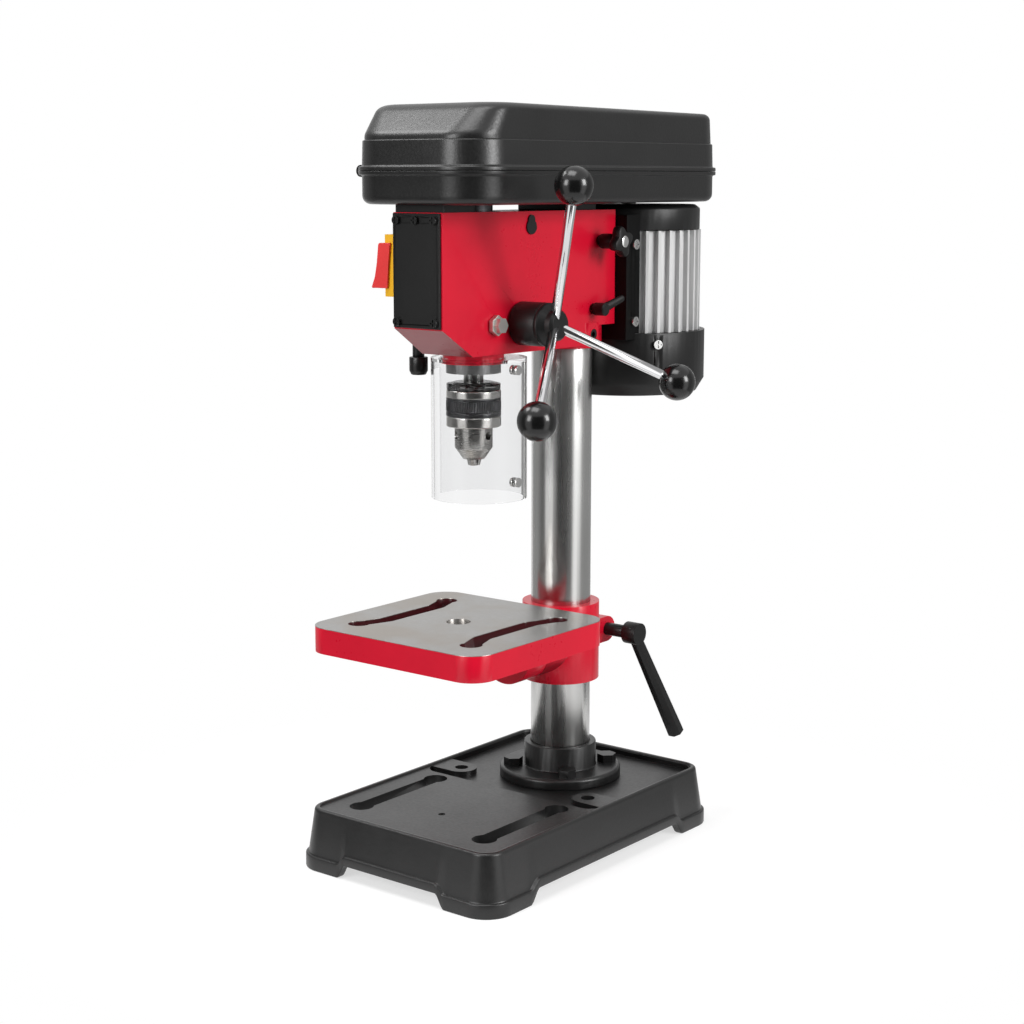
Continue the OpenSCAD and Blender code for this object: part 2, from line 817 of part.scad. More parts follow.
module cord_gland() {
    color(dark) difference() {
        union() {
            on_head_left(gland_y, gland_z + gland_block / 2) left_box(gland_block, gland_block,
                gland_reach + gland_block / 2);
            gland_place() cylinder(h = gland_neck + 4, d = gland_d);
        }
        gland_place() translate([0, 0, -gland_cap_h]) cylinder(h = 40, d = gland_d - 3);
    }
}

// Upright axis of the cord gland, with z = 0 at the lower end of its neck
module gland_place() {
    translate([-head_half(gland_y) - gland_reach, gland_y, gland_z - gland_neck]) children();
}

module gland_nut() {
    color(black) gland_place() difference() {
        union() {
            translate([0, 0, -gland_cap_h + 3]) cylinder(h = gland_cap_h - 3, d = gland_cap_d);
            translate([0, 0, -gland_cap_h]) cylinder(h = 3, d1 = gland_cap_d - 3, d2 = gland_cap_d);
        }
        translate([0, 0, -2 * gland_cap_h]) cylinder(h = 40, d = gland_d - 3);
    }
}

module key_holder() {
    color(dark) on_head_side(key_y, key_z) {
        translate([2.5, 0, 0]) cylinder(h = 1.2, r = 5.4);
        translate([-2.4, 0, 0]) cylinder(h = 1.2, r = 3.6);
    }
}

// Outline of the belt cover, grown by g
module cover_outline(g) {
    translate([0, cover_mid]) rounded(cover_w + 2 * g, cover_l + 2 * g, cover_r + g);
}

// Slab of that outline
module cover_slab(g, z, h) {
    translate([0, 0, z]) linear_extrude(h) cover_outline(g);
}

// Knuckles of the cover's hinge, each with a leaf towards the cover, first from the pin's front end
module knuckles(first, leaf_z, reach) {
    for (y = hinge_ys) {
        along_y(y + first, y + first + knuckle_l, hinge_x, part_z, knuckle_r);
        translate([hinge_x, y + first, min(part_z, part_z + leaf_z)])
            cube([reach, knuckle_l, abs(leaf_z)]);
    }
}

module cover_pan() {
    shaft_slot = 11;
    leaf = knuckle_r + gap + lip_w + cover_t;
    color(dark) difference() {
        union() {
            hull() {
                cover_slab(-pan_round, pan_z, 0.5, $fn = HULL_FN);
                cover_slab(-pan_round * 0.3, pan_z + pan_round * 0.3, 0.5, $fn = HULL_FN);
                cover_slab(0, pan_z + pan_round, 0.5, $fn = HULL_FN);
            }
            cover_slab(0, pan_z + pan_round, pan_h - pan_round);
            cover_slab(lip_w, part_z - lip_h, lip_h);
            knuckles(0, -lip_h - 2, leaf);
        }
        cover_slab(-pan_round, pan_z + cover_t, pan_h);
        cover_slab(-cover_t, pan_z + pan_round, pan_h);
        at_spindle() cylinder(h = 2 * head_top, r = bearing_r + 3);
        at_motor() for (dy = [0, motor_slide]) translate([0, dy, 0])
            cylinder(h = 2 * head_top, r = shaft_slot);
        translate([-shaft_slot, motor_y, 0]) cube([2 * shaft_slot, motor_slide, 2 * head_top]);
        for (y = hinge_ys)
            along_y(y - over, y + knuckle_l + over, hinge_x, part_z, hinge_pin_d / 2 + fit);
        for (y = hinge_ys)
            along_y(y + knuckle_l, y + 2 * knuckle_l + 2 * gap, hinge_x, part_z, knuckle_r + gap);
        translate([-2 * cover_w, -2 * cover_l, part_z - gap / 2]) difference() {
            cube([4 * cover_w, 4 * cover_l, cover_w]);
            translate([2 * cover_w, 2 * cover_l, gap / 2 - part_z]) knuckles(0, -lip_h, knuckle_r);
        }
    }
}

module cover_pads() {
    front_end = spindle_y - bearing_r - 4;
    pad_edge = 2;
    rear_l = 28;
    color(dark) {
        translate([-head_front_w / 2, head_y0 + pad_edge, head_top])
            cube([head_front_w, front_end - head_y0 - pad_edge, pad_h]);
        translate([-head_rear_w / 2 + 2 * pad_edge, col_y - rear_l * 0.75, head_top])
            cube([head_rear_w - 4 * pad_edge, rear_l, pad_h]);
    }
}

// Solid lid, its outside drawn in by g
module lid_form(g) {
    top = lid_top - g;
    slope = lid_slope;
    hull() {
        cover_slab(-g - lid_inset * 0.4, lid_step, 0.5, $fn = HULL_FN);
        translate([0, slope / 2, 0]) lid_slab(-g - lid_inset, slope, top - lid_round, 0.5, $fn = HULL_FN);
        translate([0, slope / 2, 0]) lid_slab(-g - lid_inset - lid_round * 0.3, slope,
            top - lid_round * 0.3, 0.2, $fn = HULL_FN);
        translate([0, slope / 2, 0]) lid_slab(-g - lid_inset - lid_round, slope, top - 0.5, 0.5,
            $fn = HULL_FN);
    }
}

// Slab of the cover's outline, shortened at the front
module lid_slab(g, shorter, z, h) {
    translate([0, cover_mid, z]) linear_extrude(h)
        rounded(cover_w + 2 * g, cover_l - shorter + 2 * g, cover_r + g);
}

module pulley_lid() {
    leaf = knuckle_r + gap + lip_w + cover_t;
    color(dark) difference() {
        union() {
            cover_slab(0, part_z + gap / 2, lid_wall_h - gap / 2);
            cover_slab(lip_w, part_z + gap / 2, lip_h);
            lid_form(0);
            knuckles(knuckle_l + gap, lip_h + 2, leaf);
        }
        cover_slab(-cover_t, part_z - over, lid_wall_h + over - 1);
        translate([0, 0, -1.2]) lid_form(cover_t);
        for (y = hinge_ys) {
            along_y(y, y + 2 * knuckle_l + 2, hinge_x, part_z, hinge_pin_d / 2 + fit);
            along_y(y - gap, y + knuckle_l + gap / 2, hinge_x, part_z, knuckle_r + gap);
        }
        translate([-2 * cover_w, -2 * cover_l, part_z + gap / 2 - cover_w]) difference() {
            cube([4 * cover_w, 4 * cover_l, cover_w]);
            translate([2 * cover_w, 2 * cover_l, cover_w - part_z - gap / 2])
                knuckles(knuckle_l + gap, lip_h, knuckle_r);
        }
    }
}

module lid_hinge_pins() {
    color(steel) for (y = hinge_ys)
        along_y(y - 0.5, y + 2 * knuckle_l + 1.5, hinge_x, part_z, hinge_pin_d / 2);
}

// Half section of a stepped pulley with a groove in each step
module pulley_profile(radii, bore) {
    land = (step_h - groove) / 2;
    for (i = [0 : steps - 1]) translate([0, i * step_h]) difference() {
        translate([bore, 0]) square([radii[i] - bore, step_h]);
        translate([radii[i], 0]) polygon([[over, land - 1], [-groove, land], [-groove, land + groove],
            [over, land + groove + 1]]);
    }
}

module spindle_pulley() {
    color(steel) at_spindle() translate([0, 0, pulley_z]) rotate_extrude()
        pulley_profile([for (i = [0 : steps - 1]) spindle_step(i)], pulley_bore_r);
}

// Splined shape, grown by g
module spline_outline(g) {
    circle(spline_r + g);
    for (k = [0 : spline_n - 1]) rotate(k * 360 / spline_n)
        translate([0, -(spline_w / 2 + g)]) square([spline_tip + g, spline_w + 2 * g]);
}

module pulley_sleeve() {
    color(steel) at_spindle() difference() {
        union() {
            translate([0, 0, head_top - 2 * bearing_h]) cylinder(h = 2 * bearing_h, r = pulley_bore_r - 1);
            translate([0, 0, head_top]) cylinder(h = pulley_z - head_top, r = pulley_bore_r + 3);
            translate([0, 0, pulley_z]) cylinder(h = sleeve_top_z - pulley_z, r = pulley_bore_r);
        }
        linear_extrude(2 * head_top) spline_outline(fit * 2);
    }
}

module pulley_bearings() {
    color(bright) at_spindle() for (k = [1, 2])
        ring(bearing_r, pulley_bore_r - 1 + fit, head_top - k * bearing_h, bearing_h - 0.2);
}

// Outline of a band round two pulleys of radius r0 and r1, c apart along Y
module band_outline(r0, r1, c) {
    a = asin((r0 - r1) / c);
    circle(r0);
    translate([0, c]) circle(r1);
    polygon([[r0 * cos(a), r0 * sin(a)], [r1 * cos(a), c + r1 * sin(a)],
        [-r1 * cos(a), c + r1 * sin(a)], [-r0 * cos(a), r0 * sin(a)]]);
}

module drive_belt() {
    inner0 = spindle_step(belt_step) - groove + belt_sink;
    inner1 = motor_step(belt_step) - groove + belt_sink;
    color(dark) at_spindle() translate([0, 0, pulley_z + (belt_step + 0.5) * step_h - belt_w / 2])
        linear_extrude(belt_w) difference() {
            band_outline(inner0 + belt_t, inner1 + belt_t, drive_centres);
            band_outline(inner0, inner1, drive_centres);
        }
}

module motor_pulley() {
    color(steel) at_motor() translate([0, 0, pulley_z]) rotate_extrude()
        pulley_profile([for (i = [0 : steps - 1]) motor_step(i)], motor_shaft_r);
}

module motor_shaft() {
    color(steel) at_motor() translate([0, 0, motor_bottom + 8])
        cylinder(h = sleeve_top_z - motor_bottom - 8, r = motor_shaft_r);
}

module motor_rotor() {
    color(steel) at_motor() ring(rotor_r, motor_shaft_r, motor_body_bottom + 8, motor_body_h - 16);
}

module motor_stator() {
    color("#8a6a3a") at_motor() ring(stator_r, rotor_r + air_gap, motor_body_bottom + 6, motor_body_h - 12);
}

module motor_fan() {
    low = motor_bottom + 12;
    color(black) at_motor() {
        ring(14, motor_shaft_r, low, 14);
        difference() {
            for (k = [0 : 6]) rotate([0, 0, k * 360 / 7]) translate([13, -1, low])
                cube([fan_cover_d / 2 - 20, 2, 14]);
            cylinder(h = 2 * head_top, r = 13);
        }
    }
}

module motor_body() {
    color(steel) at_motor() translate([0, 0, motor_body_bottom]) linear_extrude(motor_body_h) difference() {
        union() {
            circle(motor_core_r);
            for (k = [0 : ribs - 1]) rotate(k * 360 / ribs)
                translate([motor_core_r - 2, -rib_w / 2]) square([rib_h + 2, rib_w]);
        }
        circle(stator_r);
    }
}

module motor_top_cap() {
    color(black) at_motor() difference() {
        union() {
            translate([0, 0, motor_body_top]) cylinder(h = motor_cap_h - 3, r = motor_r - 1);
            translate([0, 0, motor_top - 3]) cylinder(h = 3, r1 = motor_r - 1, r2 = motor_r - 5);
        }
        translate([0, 0, motor_body_top - over]) cylinder(h = motor_cap_h - 5 + over, r = stator_r - 2);
        cylinder(h = 2 * head_top, r = motor_shaft_r + fit);
    }
}

module motor_fan_cover() {
    r = fan_cover_d / 2;
    foot = 10;
    color(black) at_motor() difference() {
        union() {
            translate([0, 0, motor_bottom + foot]) cylinder(h = fan_cover_h - foot, r = r);
            translate([0, 0, motor_bottom]) cylinder(h = foot, r1 = r - 6, r2 = r);
        }
        translate([0, 0, motor_bottom + 3]) cylinder(h = foot - 3, r1 = r - 8, r2 = r - fan_wall);
        translate([0, 0, motor_bottom + foot - 0.1]) cylinder(h = fan_cover_h - foot - 4, r = r - fan_wall);
        translate([0, 0, motor_bottom]) cylinder(h = 2 * fan_cover_h, r = motor_shaft_r + fit);
        for (k = [0 : 11]) rotate([0, 0, k * 30]) translate([18, -2, motor_bottom - over]) cube([24, 4, 6]);
        translate([0, -motor_y, 0]) fan_screw_places()
            cylinder(h = 12, d = screw_d + 2 * fit, center = true);
    }
}

module motor_bracket() {
    top = bracket_z + bracket_h;
    reach = 30;
    color(black) difference() {
        union() {
            translate([-bracket_w / 2, bracket_y, bracket_z]) cube([bracket_w, bracket_t + 2, bracket_h]);
            for (side = [-1, 1])
                translate([side * (bracket_w - bracket_t) / 2 - bracket_t / 2, bracket_y, bracket_z])
                    cube([bracket_t, reach, bracket_h]);
        }
        at_motor() translate([0, 0, bracket_z - over]) cylinder(h = motor_top + 20, r = motor_r + gap);
        at_motor() cylinder(h = motor_body_bottom + gap, r = fan_cover_d / 2 + gap);
        for (x = [-1, 1]) along_y(bracket_y - over, bracket_y + 40, x * bar_x, bar_z, bar_d / 2 + fit);
        bracket_screw_places() cylinder(h = 20, d = screw_d + 2 * fit, center = true);
    }
}

// Screws of the bracket's two cheeks, each with its Z out of the cheek
module bracket_screw_places() {
    for (side = [0, 1], z = [bracket_z + 14, bracket_z + bracket_h - 22]) mirror([side, 0, 0])
        translate([bracket_w / 2, bracket_y + 9, z]) rotate([0, 90, 0]) children();
}

module motor_screws() {
    color(bright) {
        bracket_screw_places() pan_screw(screw_d, bracket_t, 7.5);
        fan_screw_places() pan_screw(screw_d, fan_wall - 0.5, 7);
    }
}

// Screws round the fan cover, each with its Z out of the cover
module fan_screw_places() {
    at_motor() for (a = [-33 : 90 : 237]) rotate([0, 0, a])
        translate([fan_cover_d / 2, 0, motor_body_bottom - 8.2]) rotate([0, 90, 0]) children();
}

module slide_bars() {
    color(steel) for (x = [-1, 1])
        along_y(head_y1 - bar_l + 8, bracket_y + 2, x * bar_x, bar_z, bar_d / 2);
}

module tension_knob() {
    stub = head_half(tension_y) + 1;
    color(black) {
        along_x(bar_x + bar_d / 2 + gap, stub + 12, tension_y, bar_z, screw_d);
        along_x(stub, stub + 19, tension_y, bar_z, 6.6);
        translate([stub + 19, tension_y, bar_z]) rotate([0, 90, 0]) {
            cylinder(h = 10, r = 8);
            for (k = [0 : 3]) rotate([0, 0, k * 90 + 20]) translate([8, 0, 0]) cylinder(h = 10, r = 4);
        }
    }
}

module head_lock_lever() {
    stub = head_half(col_y) + 1;
    color(black) {
        along_x(col_r + gap, stub + 6, col_y, lock_lever_z, screw_d);
        along_x(stub, stub + 14, col_y, lock_lever_z, 6);
        hull($fn = HULL_FN) {
            along_x(stub + 6, stub + 14, col_y, lock_lever_z, 5);
            along_x(stub + 8, stub + 14, col_y + 21.5, lock_lever_z + 8, 3.5);
        }
    }
}

module table_arm() {
    ear_y = lock_y;
    color(red) difference() {
        union() {
            translate([0, col_y, arm_bottom]) cylinder(h = arm_h, r = arm_r);
            for (side = [-1, 1]) {
                x = side > 0 ? split_w / 2 : -split_w / 2 - ear_l;
                along_x(x, x + ear_l, ear_y, lock_z, ear_d / 2);
                translate([x, col_y + 10, lock_z - ear_d / 2]) cube([ear_l, ear_y - col_y - 10, ear_d]);
            }
            along_y(table_back + gap, col_y, 0, tilt_z, tilt_r);
        }
        translate([0, col_y, arm_bottom - over]) cylinder(h = arm_h + 2 * over, r = col_r + fit);
        translate([-split_w / 2, col_y, arm_bottom - over]) cube([split_w, 3 * arm_r, arm_h + 2 * over]);
        along_x(-2 * ear_l, 2 * ear_l, ear_y, lock_z, lock_d / 2 + fit);
        along_y(table_back - over, tilt_bolt_end + 1, 0, tilt_z, tilt_bolt_d / 2 + fit);
    }
}

module table() {
    low = table_z - table_h;
    wall = 6;
    rib = 8;
    pocket_w = (table_w - rib) / 2 - wall;
    color(red) difference() {
        union() {
            difference() {
                translate([0, table_mid, 0]) plate(table_w, table_l, table_r, low, table_h);
                for (side = [-1, 1]) translate([side * (rib + pocket_w) / 2, table_mid, 0])
                    plate(pocket_w, table_l - 2 * wall, table_r - wall, low - over,
                        table_h - table_plate + over);
            }
            along_y(table_back - tilt_plate, table_back, 0, tilt_z, tilt_r);
            translate([0, table_mid, low]) cylinder(h = table_h - 1, d = table_hole + 14);
            translate([-tilt_r, table_back - tilt_plate, tilt_z])
                cube([tilt_d, tilt_plate, table_z - tilt_z - 2]);
        }
        translate([0, table_mid, low - over]) cylinder(h = 2 * table_h, d = table_hole);
        for (side = [-1, 1]) translate([side * table_slot_pitch / 2, table_mid, low - over])
            linear_extrude(2 * table_h)
                bent_slot(table_slot_l, table_slot_w, table_slot_end, side * table_slot_bend, table_slot_run);
        along_y(table_back - tilt_plate - over, table_back + over, 0, tilt_z, tilt_bolt_d / 2 + fit);
    }
}

module tilt_bolt() {
    head = 7;
    color(steel) {
        along_y(table_back - tilt_plate - head / 2, tilt_bolt_end, 0, tilt_z, tilt_bolt_d / 2);
        translate([0, table_back - tilt_plate, tilt_z]) rotate([90, 0, 0])
            cylinder(h = head, d = tilt_bolt_d * 1.7, $fn = 6);
    }
}

module table_lock_screw() {
    color(dark) along_x(-lock_x, lever_x - lever_head_l / 2, lock_y, lock_z, lock_d / 2);
}

module table_lock_lever() {
    grip_d = 14;
    neck_d = 10.5;
    kick = 2;
    color(black) translate([lever_x, lock_y, lock_z]) rotate([lever_angle, 0, 0]) {
        translate([-lever_head_l / 2, 0, 0]) rotate([0, 90, 0]) cylinder(h = lever_head_l, d = lever_head_d);
        hull() {
            translate([0, 0, 1 - lever_head_d / 2]) rotate([0, 0, 22.5]) cylinder(h = 1, d = neck_d, $fn = 8);
            translate([kick, 0, 1 - lever_l]) rotate([0, 0, 22.5]) cylinder(h = 1, d = grip_d, $fn = 8);
            translate([kick, 0, -lever_l]) rotate([0, 0, 22.5]) cylinder(h = 1, d = grip_d - 3, $fn = 8);
        }
    }
}

module quill() {
    color(steel) at_spindle() difference() {
        translate([0, 0, quill_bottom]) cylinder(h = quill_l, r = quill_r);
        translate([0, 0, quill_bottom - over]) cylinder(h = quill_l + 2 * over, r = spindle_r + 1);
        translate([0, 0, quill_bottom + 2]) cylinder(h = lower_bearing_h + 0.2, r = lower_bearing_r + fit);
        translate([0, 0, quill_bottom - over]) cylinder(h = 4, r = lower_bearing_r + fit);
        translate([0, 0, quill_top - upper_bearing_h - 2])
            cylinder(h = 2 * upper_bearing_h, r = upper_bearing_r + fit);
        translate([-quill_r, rack_flat, rack_bottom]) cube([quill_d, quill_r, quill_l]);
        rack_gaps();
        translate([guide_face - key_slot_depth, -guide_off - key_slot_w / 2, feed_z - key_slot_w])
            cube([quill_r, key_slot_w, quill_l]);
    }
}

// Gaps between the teeth of the quill's rack, with a gap's middle on the pinion's height
module rack_gaps() {
    root = rack_y - tooth_root;
    half_root = rack_pitch / 4 + backlash / 2 - tooth_root * tan(pressure_angle);
    half_tip = rack_pitch / 4 + backlash / 2 + (rack_addendum + 1) * tan(pressure_angle);
    for (k = [-2 : rack_teeth]) translate([-pinion_l / 2 - 0.5, 0, feed_z + k * rack_pitch])
        rotate([90, 0, 90]) linear_extrude(pinion_l + 1)
            polygon([[root, -half_root], [root, half_root], [rack_flat + 1, half_tip],
                [rack_flat + 1, -half_tip]]);
}

module quill_bearings() {
    color(bright) at_spindle() {
        ring(lower_bearing_r, spindle_r + fit, quill_bottom + 2, lower_bearing_h);
        ring(upper_bearing_r, spindle_r + fit, quill_top - upper_bearing_h - 2, upper_bearing_h);
    }
}

module spindle() {
    top = head_top + spindle_rise;
    color(steel) at_spindle() {
        translate([0, 0, chuck_top - taper_l]) cylinder(h = taper_l + 1, r = taper_r);
        translate([0, 0, chuck_top]) cylinder(h = quill_bottom + 2 - chuck_top, r = nose_shaft_r);
        translate([0, 0, quill_bottom + 1]) cylinder(h = quill_l - 1, r = spindle_r);
        translate([0, 0, quill_top - 1]) linear_extrude(top - quill_top) spline_outline(0);
    }
}

// Axis of jaw k, with its Z up the bore and z = 0 at the jaw's tip
module jaw_place(k) {
    at_spindle() rotate([0, 0, k * 120 - 60]) translate([jaw_root_r, 0, jaw_tip])
        rotate([0, jaw_lean, 0]) children();
}

module chuck_body() {
    color(steel) difference() {
        at_spindle() {
            translate([0, 0, chuck_top - chuck_cap_bevel])
                cylinder(h = chuck_cap_bevel, r1 = chuck_cap_r, r2 = chuck_cap_top_r);
            translate([0, 0, sleeve_top + gap])
                cylinder(h = chuck_cap_h - chuck_cap_bevel - gap, r = chuck_cap_r);
            translate([0, 0, sleeve_top - sleeve_rim - 2]) cylinder(h = sleeve_rim + 3, r = chuck_neck_r);
            translate([0, 0, sleeve_bottom]) cylinder(h = sleeve_l - 2, r = chuck_core_r);
            translate([0, 0, chuck_shoulder]) cylinder(h = chuck_low + sleeve_rim, r = chuck_r);
            translate([0, 0, chuck_mouth]) cylinder(h = chuck_cone_h, r1 = chuck_mouth_r, r2 = chuck_r);
        }
        at_spindle() translate([0, 0, chuck_top - taper_l]) cylinder(h = 2 * taper_l, r = taper_r);
        for (k = [0 : 2]) jaw_place(k) translate([0, 0, -10])
            cylinder(h = jaw_l + jaw_travel + 14, r = jaw_r + fit);
        for (k = [0 : 2]) at_spindle() rotate([0, 0, k * 120]) translate([0, 0, chuck_key_z])
            rotate([0, 90, 0]) cylinder(h = 3 * chuck_r, d = chuck_key_d);
    }
}

module chuck_sleeve() {
    color(dark) at_spindle() difference() {
        translate([0, 0, sleeve_bottom]) cylinder(h = sleeve_l, d = sleeve_d);
        translate([0, 0, sleeve_bottom - over]) cylinder(h = sleeve_l, r = chuck_r + fit);
        translate([0, 0, sleeve_bottom + sleeve_rim + gap])
            cylinder(h = sleeve_l - 2 * sleeve_rim - gap, r = cavity_r);
        translate([0, 0, sleeve_top - sleeve_rim - over])
            cylinder(h = 2 * sleeve_rim, r = chuck_neck_r + fit);
    }
}

module chuck_jaw(k) {
    color(steel) intersection() {
        jaw_place(k) translate([0, 0, -6]) cylinder(h = jaw_l + 6, r = jaw_r);
        at_spindle() rotate([0, 0, k * 120 - 60]) translate([gap, 0, jaw_tip]) linear_extrude(2 * jaw_l)
            polygon([[0, 0], [jaw_l, -jaw_l * tan(60)], [jaw_l, jaw_l * tan(60)]]);
    }
}

module chuck_jaw_1() {
    chuck_jaw(0);
}

module chuck_jaw_2() {
    chuck_jaw(1);
}

module chuck_jaw_3() {
    chuck_jaw(2);
}

// Outline of the pinion, with a tooth pointing along +X
module pinion_outline() {
    base_circle = pitch_r * cos(pressure_angle);
    tip = pitch_r + pinion_addendum;
    root = pitch_r - rack_addendum - 0.6;
    roll_pitch = tan(pressure_angle) * 180 / PI;
    half = 90 / pinion_teeth - backlash / 2 / pitch_r * 180 / PI / 2 + roll_pitch - pressure_angle;
    roll_tip = sqrt(pow(tip / base_circle, 2) - 1) * 180 / PI;
    flank = [for (s = [0 : 4]) involute(base_circle, roll_tip * s / 4)];
    circle(root);
    for (k = [0 : pinion_teeth - 1]) rotate(k * 360 / pinion_teeth) polygon(concat(
        [[root * 0.9 * cos(half), -root * 0.9 * sin(half)]],
        [for (p = flank) [p[0] * cos(half) + p[1] * sin(half), p[1] * cos(half) - p[0] * sin(half)]],
        [for (s = [4 : -1 : 0]) let (p = flank[s])
            [p[0] * cos(half) + p[1] * sin(half), p[0] * sin(half) - p[1] * cos(half)]],
        [[root * 0.9 * cos(half), root * 0.9 * sin(half)]]));
}

module feed_shaft() {
    left = -head_half(feed_y) - cap_l + 3;
    color(steel) translate([0, feed_y, feed_z]) rotate([0, 90, 0]) {
        translate([0, 0, left]) cylinder(h = hub_x - left + 2, r = shaft_r - 0.4);
        translate([0, 0, left]) cylinder(h = -left - pinion_l / 2, r = shaft_r);
        translate([0, 0, -pinion_l / 2]) linear_extrude(pinion_l) rotate(-90) pinion_outline();
        translate([0, 0, quill_r - 3]) cylinder(h = head_side - quill_r + 3, r = journal_r);
    }
}

module feed_hub() {
    color(dark) difference() {
        union() {
            along_x(flange_x, hub_x, feed_y, feed_z, ring_d / 2);
            translate([hub_x, feed_y, feed_z]) rotate([0, 90, 0])
                cylinder(h = hub_cone_l, r1 = ring_d / 2 - hub_cone_step, r2 = hub_d / 2);
            along_x(hub_x, hub_x + hub_l - 2, feed_y, feed_z, hub_d / 2);
            translate([hub_x + hub_l - 2, feed_y, feed_z]) rotate([0, 90, 0])
                cylinder(h = 2, r1 = hub_d / 2, r2 = hub_d / 2 - 2);
        }
        along_x(0, hub_x + 2, feed_y, feed_z, shaft_r - 0.4);
        for (k = [0 : 2]) spoke_place(k) translate([0, 0, 5]) cylinder(h = 40, d = spoke_d);
    }
}

// Axis of spoke k, with its Z along the spoke and z = 0 on the feed axis
module spoke_place(k) {
    translate([spoke_x, feed_y, feed_z]) rotate([-spoke_angles[k], 0, 0])
        rotate([0, spoke_leans[k], 0]) children();
}

module depth_ring() {
    color(dark) difference() {
        along_x(ring_x, ring_x + ring_l, feed_y, feed_z, ring_d / 2);
        along_x(0, ring_x + 2 * ring_l, feed_y, feed_z, shaft_r - 0.4 + fit);
        along_x(0, head_side + gap * 2, feed_y, feed_z, journal_r + gap);
    }
}

module feed_spokes() {
    color(bright) for (k = [0 : 2]) spoke_place(k) translate([0, 0, 5])
        cylinder(h = spoke_l - 5, d = spoke_d);
}

module feed_knobs() {
    color(dark) for (k = [0 : 2]) spoke_place(k) difference() {
        union() {
            translate([0, 0, spoke_l]) sphere(d = ball_d);
            translate([0, 0, spoke_l - ball_d / 2 - 1]) cylinder(h = 5, d = spoke_d + 4);
        }
        translate([0, 0, spoke_l - ball_d]) cylinder(h = ball_d, d = spoke_d);
    }
}

// Flat coil between the feed shaft and the wall of its cap
module return_spring() {
    inner = shaft_r + 0.6;
    outer = cap_r - cap_wall - 0.4;
    points = spring_turns * 20;
    rise = (outer - inner - spring_strip) / points;
    turn = [for (k = [0 : points]) [inner + rise * k, 360 / 20 * k]];
    color(steel) translate([-head_half(feed_y) - cap_l + 5, feed_y, feed_z]) rotate([0, 90, 0])
        linear_extrude(cap_l - 8) polygon(concat(
            [for (t = turn) t[0] * [cos(t[1]), sin(t[1])]],
            [for (k = [points : -1 : 0])
                (turn[k][0] + spring_strip) * [cos(turn[k][1]), sin(turn[k][1])]]));
}

module spring_cap() {
    x = -head_half(feed_y + cap_r) - gap;
    color(black) difference() {
        along_x(x - cap_l, x, feed_y, feed_z, cap_r);
        along_x(x - cap_l + 2, x + over, feed_y, feed_z, cap_r - cap_wall);
    }
}

module quill_guide_screw() {
    out = head_half(guide_y + guide_nut_d / 2) + guide_nut_h + 2 * fit;
    color(bright) {
        along_x(guide_face - key_slot_depth + 0.6, quill_r + 1, guide_y, feed_z, key_slot_w / 2 - 0.4);
        along_x(quill_r + 0.4, out + 1, guide_y, feed_z, screw_d);
        translate([out, guide_y, feed_z]) rotate([0, 90, 0]) rotate([0, 0, 30])
            cylinder(h = guide_head_h, d = guide_head_d / cos(30), $fn = 6);
    }
}

module guide_nut() {
    out = head_half(guide_y + guide_nut_d / 2) + fit;
    color(bright) translate([out, guide_y, feed_z]) rotate([0, 90, 0]) difference() {
        cylinder(h = guide_nut_h, d = guide_nut_d / cos(30), $fn = 6);
        translate([0, 0, -over]) cylinder(h = 2 * guide_nut_h, r = screw_d);
    }
}

module chuck_guard() {
    color([0.8, 0.88, 0.92, 0.35]) at_spindle() difference() {
        translate([guard_off_x, guard_off_y, guard_bottom]) cylinder(h = guard_l, r = guard_r);
        translate([guard_off_x, guard_off_y, guard_bottom - over])
            cylinder(h = guard_l - guard_plate + over, r = guard_r - guard_wall);
        cylinder(h = 2 * head_top, r = nose_d / 2 + gap);
        translate([guard_off_x, guard_off_y, 0]) rotate([0, 0, 187])
            translate([guard_r - 8, 0, guard_bottom - over]) cube([16, guard_slot, guard_l - 8]);
        rivet_places() cylinder(h = 20, d = rivet_d * 0.7, center = true);
    }
}

// Axes of the two rivets of the guard's seam, each with its Z out of the wall
module rivet_places() {
    for (z = [guard_bottom + 13.7, guard_top - 7.5])
        translate([guard_off_x + guard_r, guard_off_y, z]) rotate([0, 90, 0]) children();
}

module guard_rivets() {
    color(bright) at_spindle() rivet_places() {
        cylinder(h = 2, d = rivet_d + 2);
        translate([0, 0, -guard_wall - 1]) cylinder(h = guard_wall + 2, d = rivet_d * 0.7);
        translate([0, 0, -guard_wall - 2.4]) cylinder(h = 2, d = rivet_d + 2);
    }
}

base();
column_flange();
flange_bolts();
column();
head_casting();
head_set_screw();
front_plate();
front_plate_screws();
switch_housing();
start_button();
stop_flap();
cord_gland();
gland_nut();
key_holder();
cover_pan();
cover_pads();
pulley_lid();
lid_hinge_pins();
spindle_pulley();
pulley_sleeve();
pulley_bearings();
drive_belt();
motor_pulley();
motor_shaft();
motor_rotor();
motor_stator();
motor_fan();
motor_body();
motor_top_cap();
motor_fan_cover();
motor_bracket();
motor_screws();
slide_bars();
tension_knob();
head_lock_lever();
table_arm();
table();
tilt_bolt();
table_lock_screw();
table_lock_lever();
quill();
quill_bearings();
spindle();
chuck_body();
chuck_sleeve();
chuck_jaw_1();
chuck_jaw_2();
chuck_jaw_3();
feed_shaft();
feed_hub();
depth_ring();
feed_spokes();
feed_knobs();
return_spring();
spring_cap();
quill_guide_screw();
guide_nut();
chuck_guard();
guard_rivets();
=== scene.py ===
import math

